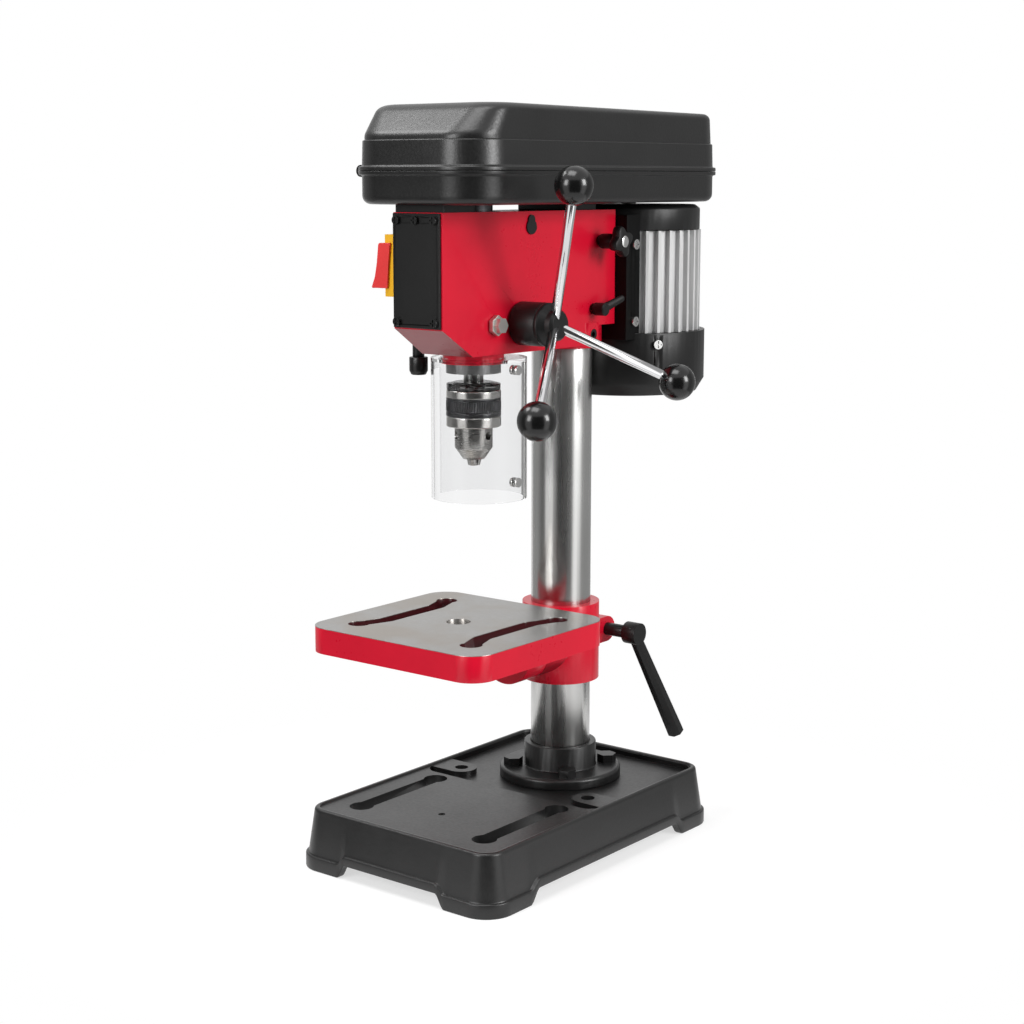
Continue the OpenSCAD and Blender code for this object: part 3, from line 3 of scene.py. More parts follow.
import bmesh
import bpy
import numpy as np
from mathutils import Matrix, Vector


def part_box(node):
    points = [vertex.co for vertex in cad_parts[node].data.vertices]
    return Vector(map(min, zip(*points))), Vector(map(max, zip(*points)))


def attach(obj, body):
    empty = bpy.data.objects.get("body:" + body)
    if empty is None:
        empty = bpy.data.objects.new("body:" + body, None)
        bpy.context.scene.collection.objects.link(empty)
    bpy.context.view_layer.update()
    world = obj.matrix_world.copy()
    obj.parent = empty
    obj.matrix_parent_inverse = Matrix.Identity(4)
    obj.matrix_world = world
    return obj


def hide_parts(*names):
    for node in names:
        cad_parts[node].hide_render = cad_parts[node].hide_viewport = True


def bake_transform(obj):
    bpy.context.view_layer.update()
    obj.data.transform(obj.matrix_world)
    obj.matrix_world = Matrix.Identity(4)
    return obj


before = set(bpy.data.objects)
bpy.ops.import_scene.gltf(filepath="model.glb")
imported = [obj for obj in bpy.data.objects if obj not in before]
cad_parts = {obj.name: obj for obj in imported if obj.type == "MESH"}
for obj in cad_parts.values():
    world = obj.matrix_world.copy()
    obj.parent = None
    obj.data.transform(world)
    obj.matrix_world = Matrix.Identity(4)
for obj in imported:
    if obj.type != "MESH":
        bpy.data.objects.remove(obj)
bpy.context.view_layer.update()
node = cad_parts
MM = 0.001


# Camera. It stands where the photograph was taken from: to the front right of the machine, level with its
# head and looking slightly down. The focal length is in pixels of a square picture.
PICTURE_PX = 1024
FOCAL_PX = 1918.7
SENSOR_MM = 36.0
CAMERA_AT = (0.87307, -1.10344, 0.50105)
LOOK_DOWN, LOOK_TURN = 9.868, 38.334
lens = bpy.data.cameras.new("camera")
lens.sensor_width = SENSOR_MM
lens.lens = FOCAL_PX / PICTURE_PX * SENSOR_MM
camera = bpy.data.objects.new("camera", lens)
camera.location = CAMERA_AT
camera.rotation_euler = (math.radians(90 - LOOK_DOWN), 0, math.radians(LOOK_TURN))
bpy.context.scene.collection.objects.link(camera)
bpy.context.scene.camera = camera
bpy.context.scene.view_settings.view_transform = "Standard"


# Studio. A white floor that fades out round the machine, a white surround and four soft boxes: one to the
# left of the camera, one to its right and two overhead. A curved screen with two pale strips stands round the
# machine, out of the camera's sight, and gives metal and gloss paint their light and dark bands.
class Wire:
    """One socket of a shader tree that takes part in Python arithmetic: a + b adds a Math node."""

    def __init__(self, tree, socket=None):
        self.tree = tree
        self.socket = socket

    def node(self, kind, settings=None, inputs=None, out=0):
        """A node of that kind: its settings are set first, then values or wires go on its sockets."""
        made = self.tree.nodes.new(kind)
        for key, value in (settings or {}).items():
            setattr(made, key, value)
        for key, value in (inputs or {}).items():
            if isinstance(value, Wire):
                self.tree.links.new(value.socket, made.inputs[key])
            else:
                made.inputs[key].default_value = value
        return Wire(self.tree, made.outputs[out])

    def math(self, operation, a, b=0.0):
        """A Math node of that operation on one or two values."""
        return self.node("ShaderNodeMath", {"operation": operation}, {0: a, 1: b})

    def __add__(self, other):
        return self.math("ADD", self, other)

    def __sub__(self, other):
        return self.math("SUBTRACT", self, other)

    def __rsub__(self, other):
        return self.math("SUBTRACT", other, self)

    def __mul__(self, other):
        return self.math("MULTIPLY", self, other)

    __radd__ = __add__
    __rmul__ = __mul__

    def step(self, low, high):
        """Smooth step of this value: 0 below low, 1 above high."""
        return self.node("ShaderNodeMapRange", {"interpolation_type": "SMOOTHSTEP"},
                         {"Value": self, "From Min": low, "From Max": high})

    def blend(self, first, second):
        """Colour that runs from first to second as this value goes from 0 to 1."""
        return self.node("ShaderNodeMix", {"data_type": "RGBA"},
                         {0: self, 6: tone(first), 7: tone(second)}, 2)

    def part(self, letter):
        """One coordinate of this vector."""
        return self.node("ShaderNodeSeparateXYZ", inputs={"Vector": self}, out="XYZ".index(letter))


def tone(colour):
    """A colour as four numbers, or a wire as it is."""
    return colour if isinstance(colour, Wire) else (*colour, 1)


def new_tree(owner):
    """An empty shader tree of a material or world, and its output node."""
    owner.use_nodes = True
    owner.node_tree.nodes.clear()
    kind = "ShaderNodeOutputWorld" if isinstance(owner, bpy.types.World) else "ShaderNodeOutputMaterial"
    return Wire(owner.node_tree), owner.node_tree.nodes.new(kind)


def seen_rays(wire):
    """1 for rays from the camera, from gloss and through glass, 0 for the rays that carry light."""
    kinds = [wire.node("ShaderNodeLightPath", out=name)
             for name in ("Is Camera Ray", "Is Glossy Ray", "Is Transmission Ray")]
    return wire.math("MINIMUM", kinds[0] + kinds[1] + kinds[2], 1.0)


SURROUND_LIGHT = 0.45
FLOOR_SIZE = 3.0
FLOOR_CLEAR = (0.21, 0.40)
FLOOR_GLOW, FLOOR_SHADE, FLOOR_LIT = 0.62, 0.42, 0.85
WHITE = (1, 1, 1)
world = bpy.data.worlds.new("surround")
bpy.context.scene.world = world
wire, output = new_tree(world)
strength = seen_rays(wire) * (1 - SURROUND_LIGHT) + SURROUND_LIGHT
backdrop = wire.node("ShaderNodeBackground", inputs={"Color": tone(WHITE), "Strength": strength})
world.node_tree.links.new(backdrop.socket, output.inputs["Surface"])

floor_mesh = bpy.data.meshes.new("floor")
half = FLOOR_SIZE / 2
floor_corners = [(-half, -half, 0), (half, -half, 0), (half, half, 0), (-half, half, 0)]
floor_mesh.from_pydata(floor_corners, [], [(0, 1, 2, 3)])
floor = bpy.data.objects.new("floor", floor_mesh)
bpy.context.scene.collection.objects.link(floor)
paper = bpy.data.materials.new("paper")
wire, output = new_tree(paper)
place = wire.node("ShaderNodeTexCoord", out=3)
reach = wire.node("ShaderNodeVectorMath", {"operation": "LENGTH"}, {0: place}, 1)
sheet = wire.node("ShaderNodeBsdfDiffuse", inputs={"Color": tone([FLOOR_LIT] * 3)})
shade = wire.node("ShaderNodeBsdfDiffuse", inputs={"Color": tone([FLOOR_SHADE] * 3)})
glow = wire.node("ShaderNodeEmission", inputs={"Color": tone(WHITE), "Strength": FLOOR_GLOW})
seen = wire.node("ShaderNodeAddShader", inputs={0: shade, 1: glow})
sheet = wire.node("ShaderNodeMixShader", inputs={0: seen_rays(wire), 1: sheet, 2: seen})
nothing = wire.node("ShaderNodeBsdfTransparent")
faded = wire.node("ShaderNodeMixShader", inputs={0: reach.step(*FLOOR_CLEAR), 1: sheet, 2: nothing})
paper.node_tree.links.new(faded.socket, output.inputs["Surface"])
floor.data.materials.append(paper)


def soft_box(name, place, aim, size, power):
    """A rectangular lamp at place that faces aim."""
    lamp = bpy.data.lights.new(name, "AREA")
    lamp.shape = "RECTANGLE"
    lamp.size, lamp.size_y = size
    lamp.energy = power
    holder = bpy.data.objects.new(name, lamp)
    holder.location = place
    way = np.array(aim, float) - np.array(place, float)
    flat = math.hypot(way[0], way[1])
    holder.rotation_euler = (math.atan2(flat, -way[2]), 0, math.atan2(-way[0], way[1]))
    bpy.context.scene.collection.objects.link(holder)
    return holder


MIDDLE, HEAD_AIM = (0, 0, 0.30), (0, -0.1, 0.5)
BOX_FAR, BOX_UP = 1.7, 0.95
SIDE_BOX, TOP_BOX, HIGH_BOX = (0.55, 0.8), (1.0, 0.8), (0.7, 0.5)
TOP_AT, HIGH_AT = (0.1, -0.5, 2.0), (-1.05, -0.45, 1.85)
LEFT_WATTS, RIGHT_WATTS, TOP_WATTS, HIGH_WATTS = 13, 20, 14, 9
for name, bearing, power in (("left", -8, LEFT_WATTS), ("right", 97, RIGHT_WATTS)):
    turn = math.radians(bearing)
    soft_box(name, (BOX_FAR * math.sin(turn), -BOX_FAR * math.cos(turn), BOX_UP), MIDDLE, SIDE_BOX, power)
soft_box("top", TOP_AT, MIDDLE, TOP_BOX, TOP_WATTS)
soft_box("high", HIGH_AT, HEAD_AIM, HIGH_BOX, HIGH_WATTS)

SCREEN_FAR, SCREEN_LOW, SCREEN_TOP = 2.6, -1.6, 2.0
SCREEN_BEARINGS, SCREEN_COLUMNS = (-110, 200), 60
SIDE_END, LEFT_START, LEFT_END = (-72, -45), (-34, -25), (2, 12)
DARK_END, RIGHT_START, RIGHT_END = (70, 80), (74, 84), (104, 116)
DIM, SIDE, DARK, LEFT_STRIP, RIGHT_STRIP = 0.16, 0.40, 0.06, 1.1, 1.5
turn = np.radians(np.linspace(*SCREEN_BEARINGS, SCREEN_COLUMNS))
ring = np.stack([SCREEN_FAR * np.sin(turn), -SCREEN_FAR * np.cos(turn)], 1)
heights = np.repeat([SCREEN_LOW, SCREEN_TOP], len(ring))[:, None]
points = np.concatenate([np.tile(ring, (2, 1)), heights], 1)
first = np.arange(len(ring) - 1)[:, None]
screen_mesh = bpy.data.meshes.new("screen")
screen_mesh.from_pydata(points.tolist(), [], (first + [0, 1, len(ring) + 1, len(ring)]).tolist())
screen = bpy.data.objects.new("screen", screen_mesh)
bpy.context.scene.collection.objects.link(screen)
screen.visible_camera = False
cloth = bpy.data.materials.new("screen")
wire, output = new_tree(cloth)
place = wire.node("ShaderNodeTexCoord", out=3)
bearing = wire.math("ARCTAN2", place.part("X"), place.part("Y") * -1.0) * math.degrees(1)
left = bearing.step(*LEFT_START) - bearing.step(*LEFT_END)
dark = bearing.step(*LEFT_END) - bearing.step(*DARK_END)
right = bearing.step(*RIGHT_START) - bearing.step(*RIGHT_END)
sides = 1.0 - bearing.step(*SIDE_END) + bearing.step(*RIGHT_END)
level = (left * (LEFT_STRIP - DIM) + dark * (DARK - DIM) + right * (RIGHT_STRIP - DIM)
         + sides * (SIDE - DIM) + DIM)
mirrored = wire.math("MINIMUM", wire.node("ShaderNodeLightPath", out="Glossy Depth"), 1.0)
through = wire.node("ShaderNodeLightPath", out="Is Transmission Ray") * (1.0 - mirrored)
level = level + through * (1.0 - level)
glow = wire.node("ShaderNodeEmission", inputs={"Color": tone(WHITE), "Strength": level})
cloth.node_tree.links.new(glow.socket, output.inputs["Surface"])
screen.data.materials.append(cloth)


# Base. A hollow iron casting on four corner feet, painted satin black over a fine cast grain. A raised border
# follows its lower edge over the arches, and its top has a thin rim, a platform with two slots and a well.
def rounded_outline(width, length, radius, corner=16, side=2):
    """Rectangle with round corners, anticlockwise from the rear right, of one radius or one for each corner:
    per corner an arc, then points along the next side. Gives the points and their outward normals."""
    sign = np.array([(1, 1), (-1, 1), (-1, -1), (1, -1)])
    radius = np.broadcast_to(radius, 4)
    middle = sign * (np.array([width, length]) / 2 - radius[:, None])
    angle = np.linspace(0, math.pi / 2, corner) + np.arange(4)[:, None] * math.pi / 2
    out = np.stack([np.cos(angle), np.sin(angle)], 2)
    arcs = middle[:, None] + radius[:, None, None] * out
    run = np.linspace(0, 1, side + 2)[1:-1, None]
    sides = arcs[:, -1:] + run * (np.roll(arcs, -1, 0)[:, :1] - arcs[:, -1:])
    points = np.concatenate([arcs, sides], 1).reshape(-1, 2)
    return points, np.concatenate([out, np.repeat(out[:, -1:], side, 1)], 1).reshape(-1, 2)


def new_piece(name, mesh, smooth=40):
    """An object for a finished mesh, smooth shaded but for edges sharper than smooth degrees."""
    mesh.validate()
    mesh.shade_smooth()
    mesh.set_sharp_from_angle(angle=math.radians(smooth))
    piece = bpy.data.objects.new(name, mesh)
    bpy.context.scene.collection.objects.link(piece)
    return piece


def skin(name, grid, wrap_rows=False, smooth=40):
    """grid[row, column] holds places; neighbouring places span four-sided faces, columns close round, and the
    first and last rows are filled, unless the rows close round too."""
    rows, columns = grid.shape[:2]
    index = np.arange(rows * columns).reshape(rows, columns)
    ring = np.hstack([index, index[:, :1]])
    if wrap_rows:
        ring = np.vstack([ring, ring[:1]])
    quads = np.stack([ring[:-1, :-1], ring[:-1, 1:], ring[1:, 1:], ring[1:, :-1]], -1).reshape(-1, 4)
    faces = quads.tolist()
    if not wrap_rows:
        faces += [index[0, ::-1].tolist(), index[-1].tolist()]
    mesh = bpy.data.meshes.new(name)
    mesh.from_pydata(grid.reshape(-1, 3).tolist(), [], faces)
    work = bmesh.new()
    work.from_mesh(mesh)
    bmesh.ops.remove_doubles(work, verts=work.verts, dist=1e-7)
    bmesh.ops.recalc_face_normals(work, faces=work.faces)
    work.to_mesh(mesh)
    work.free()
    return new_piece(name, mesh, smooth)


def prism(name, outline, low, high):
    """Upright prism between two heights over a flat outline."""
    level = np.array([low, high])[:, None, None]
    flat = np.broadcast_to(outline, (2, *outline.shape))
    return skin(name, np.concatenate([flat, np.broadcast_to(level, (2, len(outline), 1))], 2))


def carve(piece, tools, operation="DIFFERENCE", smooth=40):
    """Cuts the tools out of the piece, or joins them to it, removes the tools, and leaves edges sharper than
    smooth degrees crisp."""
    for tool in tools:
        cut = piece.modifiers.new("cut", "BOOLEAN")
        cut.operation = operation
        cut.solver = "EXACT"
        cut.object = tool
    graph = bpy.context.evaluated_depsgraph_get()
    done = bpy.data.meshes.new_from_object(piece.evaluated_get(graph))
    done.set_sharp_from_angle(angle=math.radians(smooth))
    piece.modifiers.clear()
    piece.data = done
    for tool in tools:
        bpy.data.objects.remove(tool)
    return piece


def round_edges(piece, width, angle=35, segments=2):
    """Merges a node's loose corners and rounds every edge sharper than angle degrees."""
    weld = piece.modifiers.new("weld", "WELD")
    weld.merge_threshold = 1e-6
    edge = piece.modifiers.new("edge", "BEVEL")
    edge.width = width
    edge.segments = segments
    edge.limit_method = "ANGLE"
    edge.angle_limit = math.radians(angle)
    edge.harden_normals = True
    return piece


def finish(name, colour, rough, metal=0.0, coat=0.0, grain=(700, 700, 700), bump=0.05, drift=0.10, wear=0.08,
           cloud=16.0, sheen=0.5):
    """A finish over Object coordinates: the colour drifts with a slow cloud, and a finer grain, stretched by
    its three scales, changes the roughness and lifts the surface. Gives material, start wire and shader."""
    material = bpy.data.materials.new(name)
    wire, output = new_tree(material)
    place = wire.node("ShaderNodeTexCoord", out=3)
    slow = wire.node("ShaderNodeTexNoise", inputs={"Vector": place, "Scale": cloud, "Detail": 3.0})
    spread = wire.node("ShaderNodeMapping", inputs={"Vector": place, "Scale": grain})
    fine = wire.node("ShaderNodeTexNoise", inputs={"Vector": spread, "Scale": 1.0, "Detail": 4.0})
    dark = [c * (1 - drift) for c in colour]
    pale = [min(1.0, c * (1 + drift)) for c in colour]
    shade = slow.step(0.3, 0.7).blend(dark, pale)
    roughness = wire.math("MAXIMUM", (fine - 0.5) * wear + (slow - 0.5) * wear + rough, 0.02)
    lift = wire.node("ShaderNodeBump", inputs={"Strength": bump, "Distance": 0.0004, "Height": fine})
    shader = wire.node("ShaderNodeBsdfPrincipled", inputs={
        "Base Color": shade, "Roughness": roughness, "Metallic": metal, "Normal": lift, "Coat Weight": coat,
        "Specular IOR Level": sheen})
    shader.tree.links.new(shader.socket, output.inputs["Surface"])
    return material, wire, shader.socket.node


def feeding(wire, shader, key):
    """The wire that feeds an input of a shader."""
    return Wire(wire.tree, shader.inputs[key].links[0].from_socket)


def paint(material, *pieces):
    """Gives a material to pieces."""
    for piece in pieces:
        piece.data.materials.clear()
        piece.data.materials.append(material)


def rises(along, floor_half, top_half):
    """0 at the foot, 1 under the arch, with a smooth slope between the two half lengths."""
    slope = np.clip((floor_half - np.abs(along)) / (floor_half - top_half), 0, 1)
    return slope * slope * (3 - 2 * slope)


base_low, base_high = (np.array(corner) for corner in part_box("base"))
BASE_W, BASE_L, BASE_H = base_high - base_low
BASE_R = 22 * MM
BORDER_FOOT, BORDER_ARCH = 10.8 * MM, 17.5 * MM
ARCH_H, FRONT_ARCH, SIDE_ARCH = 10.4 * MM, (51 * MM, 43 * MM), (96 * MM, 86 * MM)
STRAIGHT = 0.999
FOOT_EDGE = np.array([(1.0, 0), (0.3, 0.3), (0, 1.0)]) * MM
BORDER_EDGE = np.array([(0.1, -0.8), (0.3, -0.3), (0.8, 0), (1.9, 0.2), (2.2, 0.6), (2.3, 1.0)]) * MM
FOOT_DRAFT, RIM_EDGE = 1.5 * MM, 0.4 * MM
LEAN, RIM_R, RIM_W = 7 * MM, 2.6 * MM, 4.2 * MM
PLATFORM, WELL, CEILING = BASE_H - 1.5 * MM, BASE_H - 5.5 * MM, BASE_H - 11.5 * MM
WALL = 5 * MM
outline, outward = rounded_outline(BASE_W, BASE_L, BASE_R, corner=20, side=110)
across = np.abs(outward[:, 1]) > STRAIGHT
along = np.abs(outward[:, 0]) > STRAIGHT
lift = np.where(across, rises(outline[:, 0], *FRONT_ARCH), 0)
lift += np.where(along, rises(outline[:, 1], *SIDE_ARCH), 0)
foot, border = ARCH_H * lift, BORDER_FOOT + (BORDER_ARCH - BORDER_FOOT) * lift
rim_turn = np.linspace(0, math.pi / 2, 7)
flat = np.zeros_like(foot)
rows = [(LEAN + WALL + flat, CEILING + flat), (FOOT_DRAFT + WALL + flat, foot)]
rows += [(inset + flat, foot + up) for inset, up in FOOT_EDGE]
rows += [(inset + flat, border + up) for inset, up in BORDER_EDGE]
WALL_TOP = BASE_H - RIM_R
wall_inset, wall_up = BORDER_EDGE[-1]
rows += [(wall_inset + (LEAN - wall_inset) * t + flat, border + wall_up + (WALL_TOP - border - wall_up) * t)
         for t in np.linspace(0.1, 1, 8)]
rows += [(LEAN + RIM_R * (1 - math.cos(a)) + flat, WALL_TOP + RIM_R * math.sin(a) + flat)
         for a in rim_turn[1:]]
rows += [(LEAN + RIM_W - 0.5 * MM + flat, BASE_H + flat), (LEAN + RIM_W + flat, BASE_H - RIM_EDGE + flat),
         (LEAN + RIM_W + RIM_EDGE + flat, PLATFORM + flat)]
base = skin("cast_base", np.stack([np.concatenate([outline - outward * inset[:, None], z[:, None]], 1)
                                   for inset, z in rows]))


def slot_outline(x, front, rear, width, front_d, rear_d):
    """Slot along Y with a round end of its own diameter at each end: two arcs that start and stop where the
    straight sides meet them."""
    arcs = []
    for middle, d, facing in ((rear - rear_d / 2, rear_d, 0.5), (front + front_d / 2, front_d, 1.5)):
        open_angle = math.asin(min(1, width / d)) if d > width else math.pi / 2
        angle = facing * math.pi + np.linspace(open_angle - math.pi, math.pi - open_angle, 28)
        arcs.append(np.stack([x + d / 2 * np.cos(angle), middle + d / 2 * np.sin(angle)], 1))
    return np.concatenate(arcs)


def disc(x, y, radius, count=40):
    """Circle in plan."""
    angle = np.linspace(0, 2 * math.pi, count, endpoint=False)
    return np.stack([x + radius * np.cos(angle), y + radius * np.sin(angle)], 1)


SLOT_X, SLOT_FRONT, SLOT_REAR = 58.5 * MM, -113.6 * MM, -11.6 * MM
SLOT_W, SLOT_END = 13 * MM, 18 * MM
LUG_X, LUG_Y, LUG_R, LUG_HOLE, LUG_ROOT = 61.5 * MM, 14.4 * MM, 12 * MM, 5.2 * MM, 1 * MM
WELL_FRONT, WELL_R, WELL_GAP = -7.6 * MM, 12 * MM, 0.6 * MM
DIMPLE_Y, DIMPLE_R, DIMPLE_DEEP = -82 * MM, 2.6 * MM, 1 * MM
well_inset = LEAN + RIM_W + WELL_GAP
well_w, well_l = BASE_W - 2 * well_inset, BASE_L - 2 * well_inset
well_plan, _ = rounded_outline(well_w, well_l / 2 - WELL_FRONT, WELL_R, 10)
well_plan = well_plan + (0, (well_l / 2 + WELL_FRONT) / 2)
carve(base, [prism("well", well_plan, WELL, BASE_H)])
lugs = []
for side in (-1, 1):
    turn = np.linspace(math.pi / 2, 3 * math.pi / 2, 24)
    pad = np.stack([LUG_X + LUG_R * np.cos(turn), LUG_R * np.sin(turn)], 1)
    pad = np.concatenate([pad, [[well_w / 2, -LUG_R], [well_w / 2, LUG_R]]])
    lugs.append(prism("lug", pad * (side, 1) + (0, LUG_Y), WELL - LUG_ROOT, PLATFORM))
carve(base, lugs, "UNION")
slots = [slot_outline(side * SLOT_X, SLOT_FRONT, SLOT_REAR, SLOT_W, SLOT_END, SLOT_END) for side in (-1, 1)]
holes = [prism("hole", slot, 0, BASE_H) for slot in slots]
holes += [prism("hole", disc(side * LUG_X, LUG_Y, LUG_HOLE), 0, BASE_H) for side in (-1, 1)]
holes.append(prism("hole", disc(0, DIMPLE_Y, DIMPLE_R), PLATFORM - DIMPLE_DEEP, BASE_H))
carve(base, holes)
round_edges(base, 0.7 * MM, 50)
cast_black, _, _ = finish("cast_black", (0.007, 0.007, 0.007), 0.36, grain=(420, 420, 420), bump=0.16,
                          wear=0.16)
paint(cast_black, base)
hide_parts("base")
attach(base, "stand")


# Column. A ground steel tube that stands in a cast collar and flange, bolted to the base with four hexagon
# bolts. Grinding leaves fine rings round the tube and long soft streaks along it.
def dress(material, *names, width=0.0, angle=35):
    """Paints CAD nodes and rounds their edges where a width is given."""
    for name in names:
        paint(material, node[name])
        if width:
            round_edges(node[name], width, angle)


bolt_black, _, _ = finish("bolt_black", (0.006, 0.006, 0.006), 0.34, grain=(900, 900, 900), bump=0.06,
                          sheen=0.4)
ground_steel, _, _ = finish("ground_steel", (0.56, 0.56, 0.55), 0.27, metal=1.0, grain=(140, 140, 3),
                            bump=0.03, drift=0.08, wear=0.16, cloud=9.0)
dress(cast_black, "column_flange", width=0.8 * MM)
dress(bolt_black, "flange_bolts", width=0.35 * MM)
dress(ground_steel, "column", width=0.5 * MM)


# Table. A red cast arm clamps round the column, and the slotted table turns on its tilt bolt. The table's
# face is milled bare, the rest is gloss paint. Painted shade darkens the paint on faces that look down and
# on the walls of the table's slots. A black lever locks the arm.
FACE_Z = 184 * MM
HOLE_Y, HOLE_R = -62.1 * MM, 9 * MM
SLOT_IN, SLOT_OUT, SLOT_HALF, SLOT_DEEP = 37 * MM, 62 * MM, 58 * MM, 9 * MM
FADE, FACE_T = 1 * MM, 0.3 * MM
RED_COAT = 0.10
RED = dict(colour=(0.61, 0.004, 0.024), rough=0.30, coat=RED_COAT, grain=(260, 260, 260), bump=0.06,
           drift=0.05, wear=0.10, sheen=0.3)
PAINTED_SHADE_RED, PAINTED_SLOT_SHADE = (0.25, 0.004, 0.012), (0.045, 0.006, 0.008)
gloss_red, wire, shader = finish("gloss_red", **RED)
# Painted shade: faces that look down get a darker red base colour for the light they miss. The arm and the
# head use this paint.
under = (wire.node("ShaderNodeNewGeometry", out=1).part("Z") * -1.0).step(0.3, 0.6)
shaded = under.blend(feeding(wire, shader, "Base Color"), PAINTED_SHADE_RED)
wire.tree.links.new(shaded.socket, shader.inputs["Base Color"])
bare_steel, _, _ = finish("bare_steel", (0.46, 0.45, 0.44), 0.30, metal=1.0, grain=(500, 500, 500), bump=0.04)
table_red, wire, shader = finish("table_red", **RED)
place = wire.node("ShaderNodeTexCoord", out=3)
milled = place.part("Z").step(FACE_Z - FACE_T - 0.2 * MM, FACE_Z - FACE_T)
strokes = wire.node("ShaderNodeMapping", inputs={"Vector": place, "Scale": (35, 900, 10)})
marks = wire.node("ShaderNodeTexNoise", inputs={"Vector": strokes, "Detail": 5.0})
stain = wire.node("ShaderNodeTexNoise", inputs={"Vector": place, "Scale": 22.0, "Detail": 4.0})
bare = marks.step(0.3, 0.7).blend((0.27, 0.262, 0.255), (0.40, 0.395, 0.385))
aged = stain.step(0.42, 0.70).blend(bare, (0.31, 0.28, 0.25))
coat = feeding(wire, shader, "Base Color")
gloss = feeding(wire, shader, "Roughness")
plan = wire.node("ShaderNodeVectorMath", {"operation": "MULTIPLY"}, {0: place, 1: (1, 1, 0)})
reach = wire.node("ShaderNodeVectorMath", {"operation": "DISTANCE"}, {0: plan, 1: (0, HOLE_Y, 0)}, 1)
bored = 1.0 - reach.step(HOLE_R + 0.4 * MM, HOLE_R + 0.6 * MM)
aside = wire.math("ABSOLUTE", place.part("X"))
ahead = wire.math("ABSOLUTE", place.part("Y") - HOLE_Y)
# Painted shade: the walls of the table's slots get a dark red base colour for the shade inside them, and lose
# their coat.
slot_shade_mask = (aside.step(SLOT_IN - FADE, SLOT_IN) - aside.step(SLOT_OUT, SLOT_OUT + FADE)) * (
    1.0 - ahead.step(SLOT_HALF, SLOT_HALF + FADE))
slot_shade_mask = slot_shade_mask * place.part("Z").step(FACE_Z - SLOT_DEEP - 0.6 * MM, FACE_Z - SLOT_DEEP)
coat = slot_shade_mask.blend(coat, PAINTED_SLOT_SHADE)
bright = wire.math("MAXIMUM", milled, bored)
for key, value in (("Base Color", bright.blend(coat, aged)), ("Metallic", bright),
                   ("Roughness", gloss * (1.0 - bright) + (marks * 0.22 + 0.26) * bright),
                   ("Coat Weight", (1.0 - bright) * (1.0 - slot_shade_mask) * RED_COAT)):
    wire.tree.links.new(value.socket, shader.inputs[key])
dress(gloss_red, "table_arm", width=1.0 * MM)
dress(table_red, "table", width=0.9 * MM)
dress(bare_steel, "tilt_bolt", width=0.4 * MM)
dress(bolt_black, "table_lock_screw", width=0.3 * MM)
lever_black, _, _ = finish("lever_black", (0.006, 0.006, 0.006), 0.44, grain=(600, 600, 600), bump=0.08,
                           sheen=0.3)
dress(lever_black, "table_lock_lever", width=0.9 * MM, angle=20)


# Head. A red cast box clamped to the column by a set screw. A black plate with five screws closes its front,
# and the switch with its hinged stop flap sits in its left wall, above the cord's gland.
plate_black, _, _ = finish("plate_black", (0.006, 0.006, 0.006), 0.34, grain=(620, 620, 620), bump=0.10,
                           sheen=0.4)
yellow, _, _ = finish("yellow", (0.87, 0.47, 0.006), 0.36, grain=(500, 500, 500), bump=0.04, drift=0.04)
green, _, _ = finish("green", (0.03, 0.28, 0.06), 0.36, grain=(500, 500, 500), bump=0.04, drift=0.04)
flap_red, _, _ = finish("flap_red", (0.74, 0.035, 0.035), 0.32, grain=(500, 500, 500), bump=0.03, drift=0.04)
bright_screw, _, _ = finish("bright_screw", (0.66, 0.66, 0.65), 0.20, metal=1.0, grain=(900, 900, 900),
                            bump=0.03)
dress(gloss_red, "head_casting", width=1.3 * MM)
dress(plate_black, "front_plate", width=0.6 * MM)
dress(bolt_black, "front_plate_screws", "head_set_screw", width=0.25 * MM)
dress(yellow, "switch_housing", width=0.8 * MM)
dress(green, "start_button", width=0.4 * MM)
HEAD_TAPER, HEAD_L = 8 * MM, 191.5 * MM
HEAD_LEAN = math.atan2(HEAD_TAPER, HEAD_L)
SWITCH_X, SWITCH_Y = -22.94 * MM, -81 * MM
FLAP_HALF, CHEEK_T, PADDLE_INSET = 23.6 * MM, 1.7 * MM, 0.1 * MM
PADDLE = [(9.3, 456.8), (12.6, 456.8), (13.4, 455.6), (14.8, 443.1), (16.7, 433.3), (19.6, 426.2),
          (19.2, 425.4), (16.9, 425.4), (14.2, 433.3), (12.3, 443.1), (10.6, 454)]
CHEEK = [(2.6, 457), (12.4, 456.8), (13.3, 455.6), (14.7, 443.1), (16.6, 433.3), (19.5, 426.2), (19.1, 425.5),
         (5.4, 425.5), (4.2, 443.5)]


def along_wall(name, profile, start, end):
    """A profile of distance from the head's left wall and height, drawn out along that wall."""
    out, height = np.array(profile).T * MM
    along = np.array([start, end])[:, None]
    x = SWITCH_X - out * math.cos(HEAD_LEAN) - along * math.sin(HEAD_LEAN)
    y = SWITCH_Y - out * math.sin(HEAD_LEAN) + along * math.cos(HEAD_LEAN)
    return skin(name, np.stack([x, y, np.broadcast_to(height, x.shape)], 2), smooth=30)


for flap in (along_wall("stop_paddle", PADDLE, PADDLE_INSET - FLAP_HALF, FLAP_HALF - PADDLE_INSET),
             along_wall("stop_cheek_front", CHEEK, -FLAP_HALF, CHEEK_T - FLAP_HALF),
             along_wall("stop_cheek_rear", CHEEK, FLAP_HALF - CHEEK_T, FLAP_HALF)):
    round_edges(flap, 0.5 * MM, 30)
    paint(flap_red, flap)
    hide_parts("stop_flap")
    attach(flap, "stop")
dress(plate_black, "cord_gland", "gland_nut", "key_holder", width=0.5 * MM)


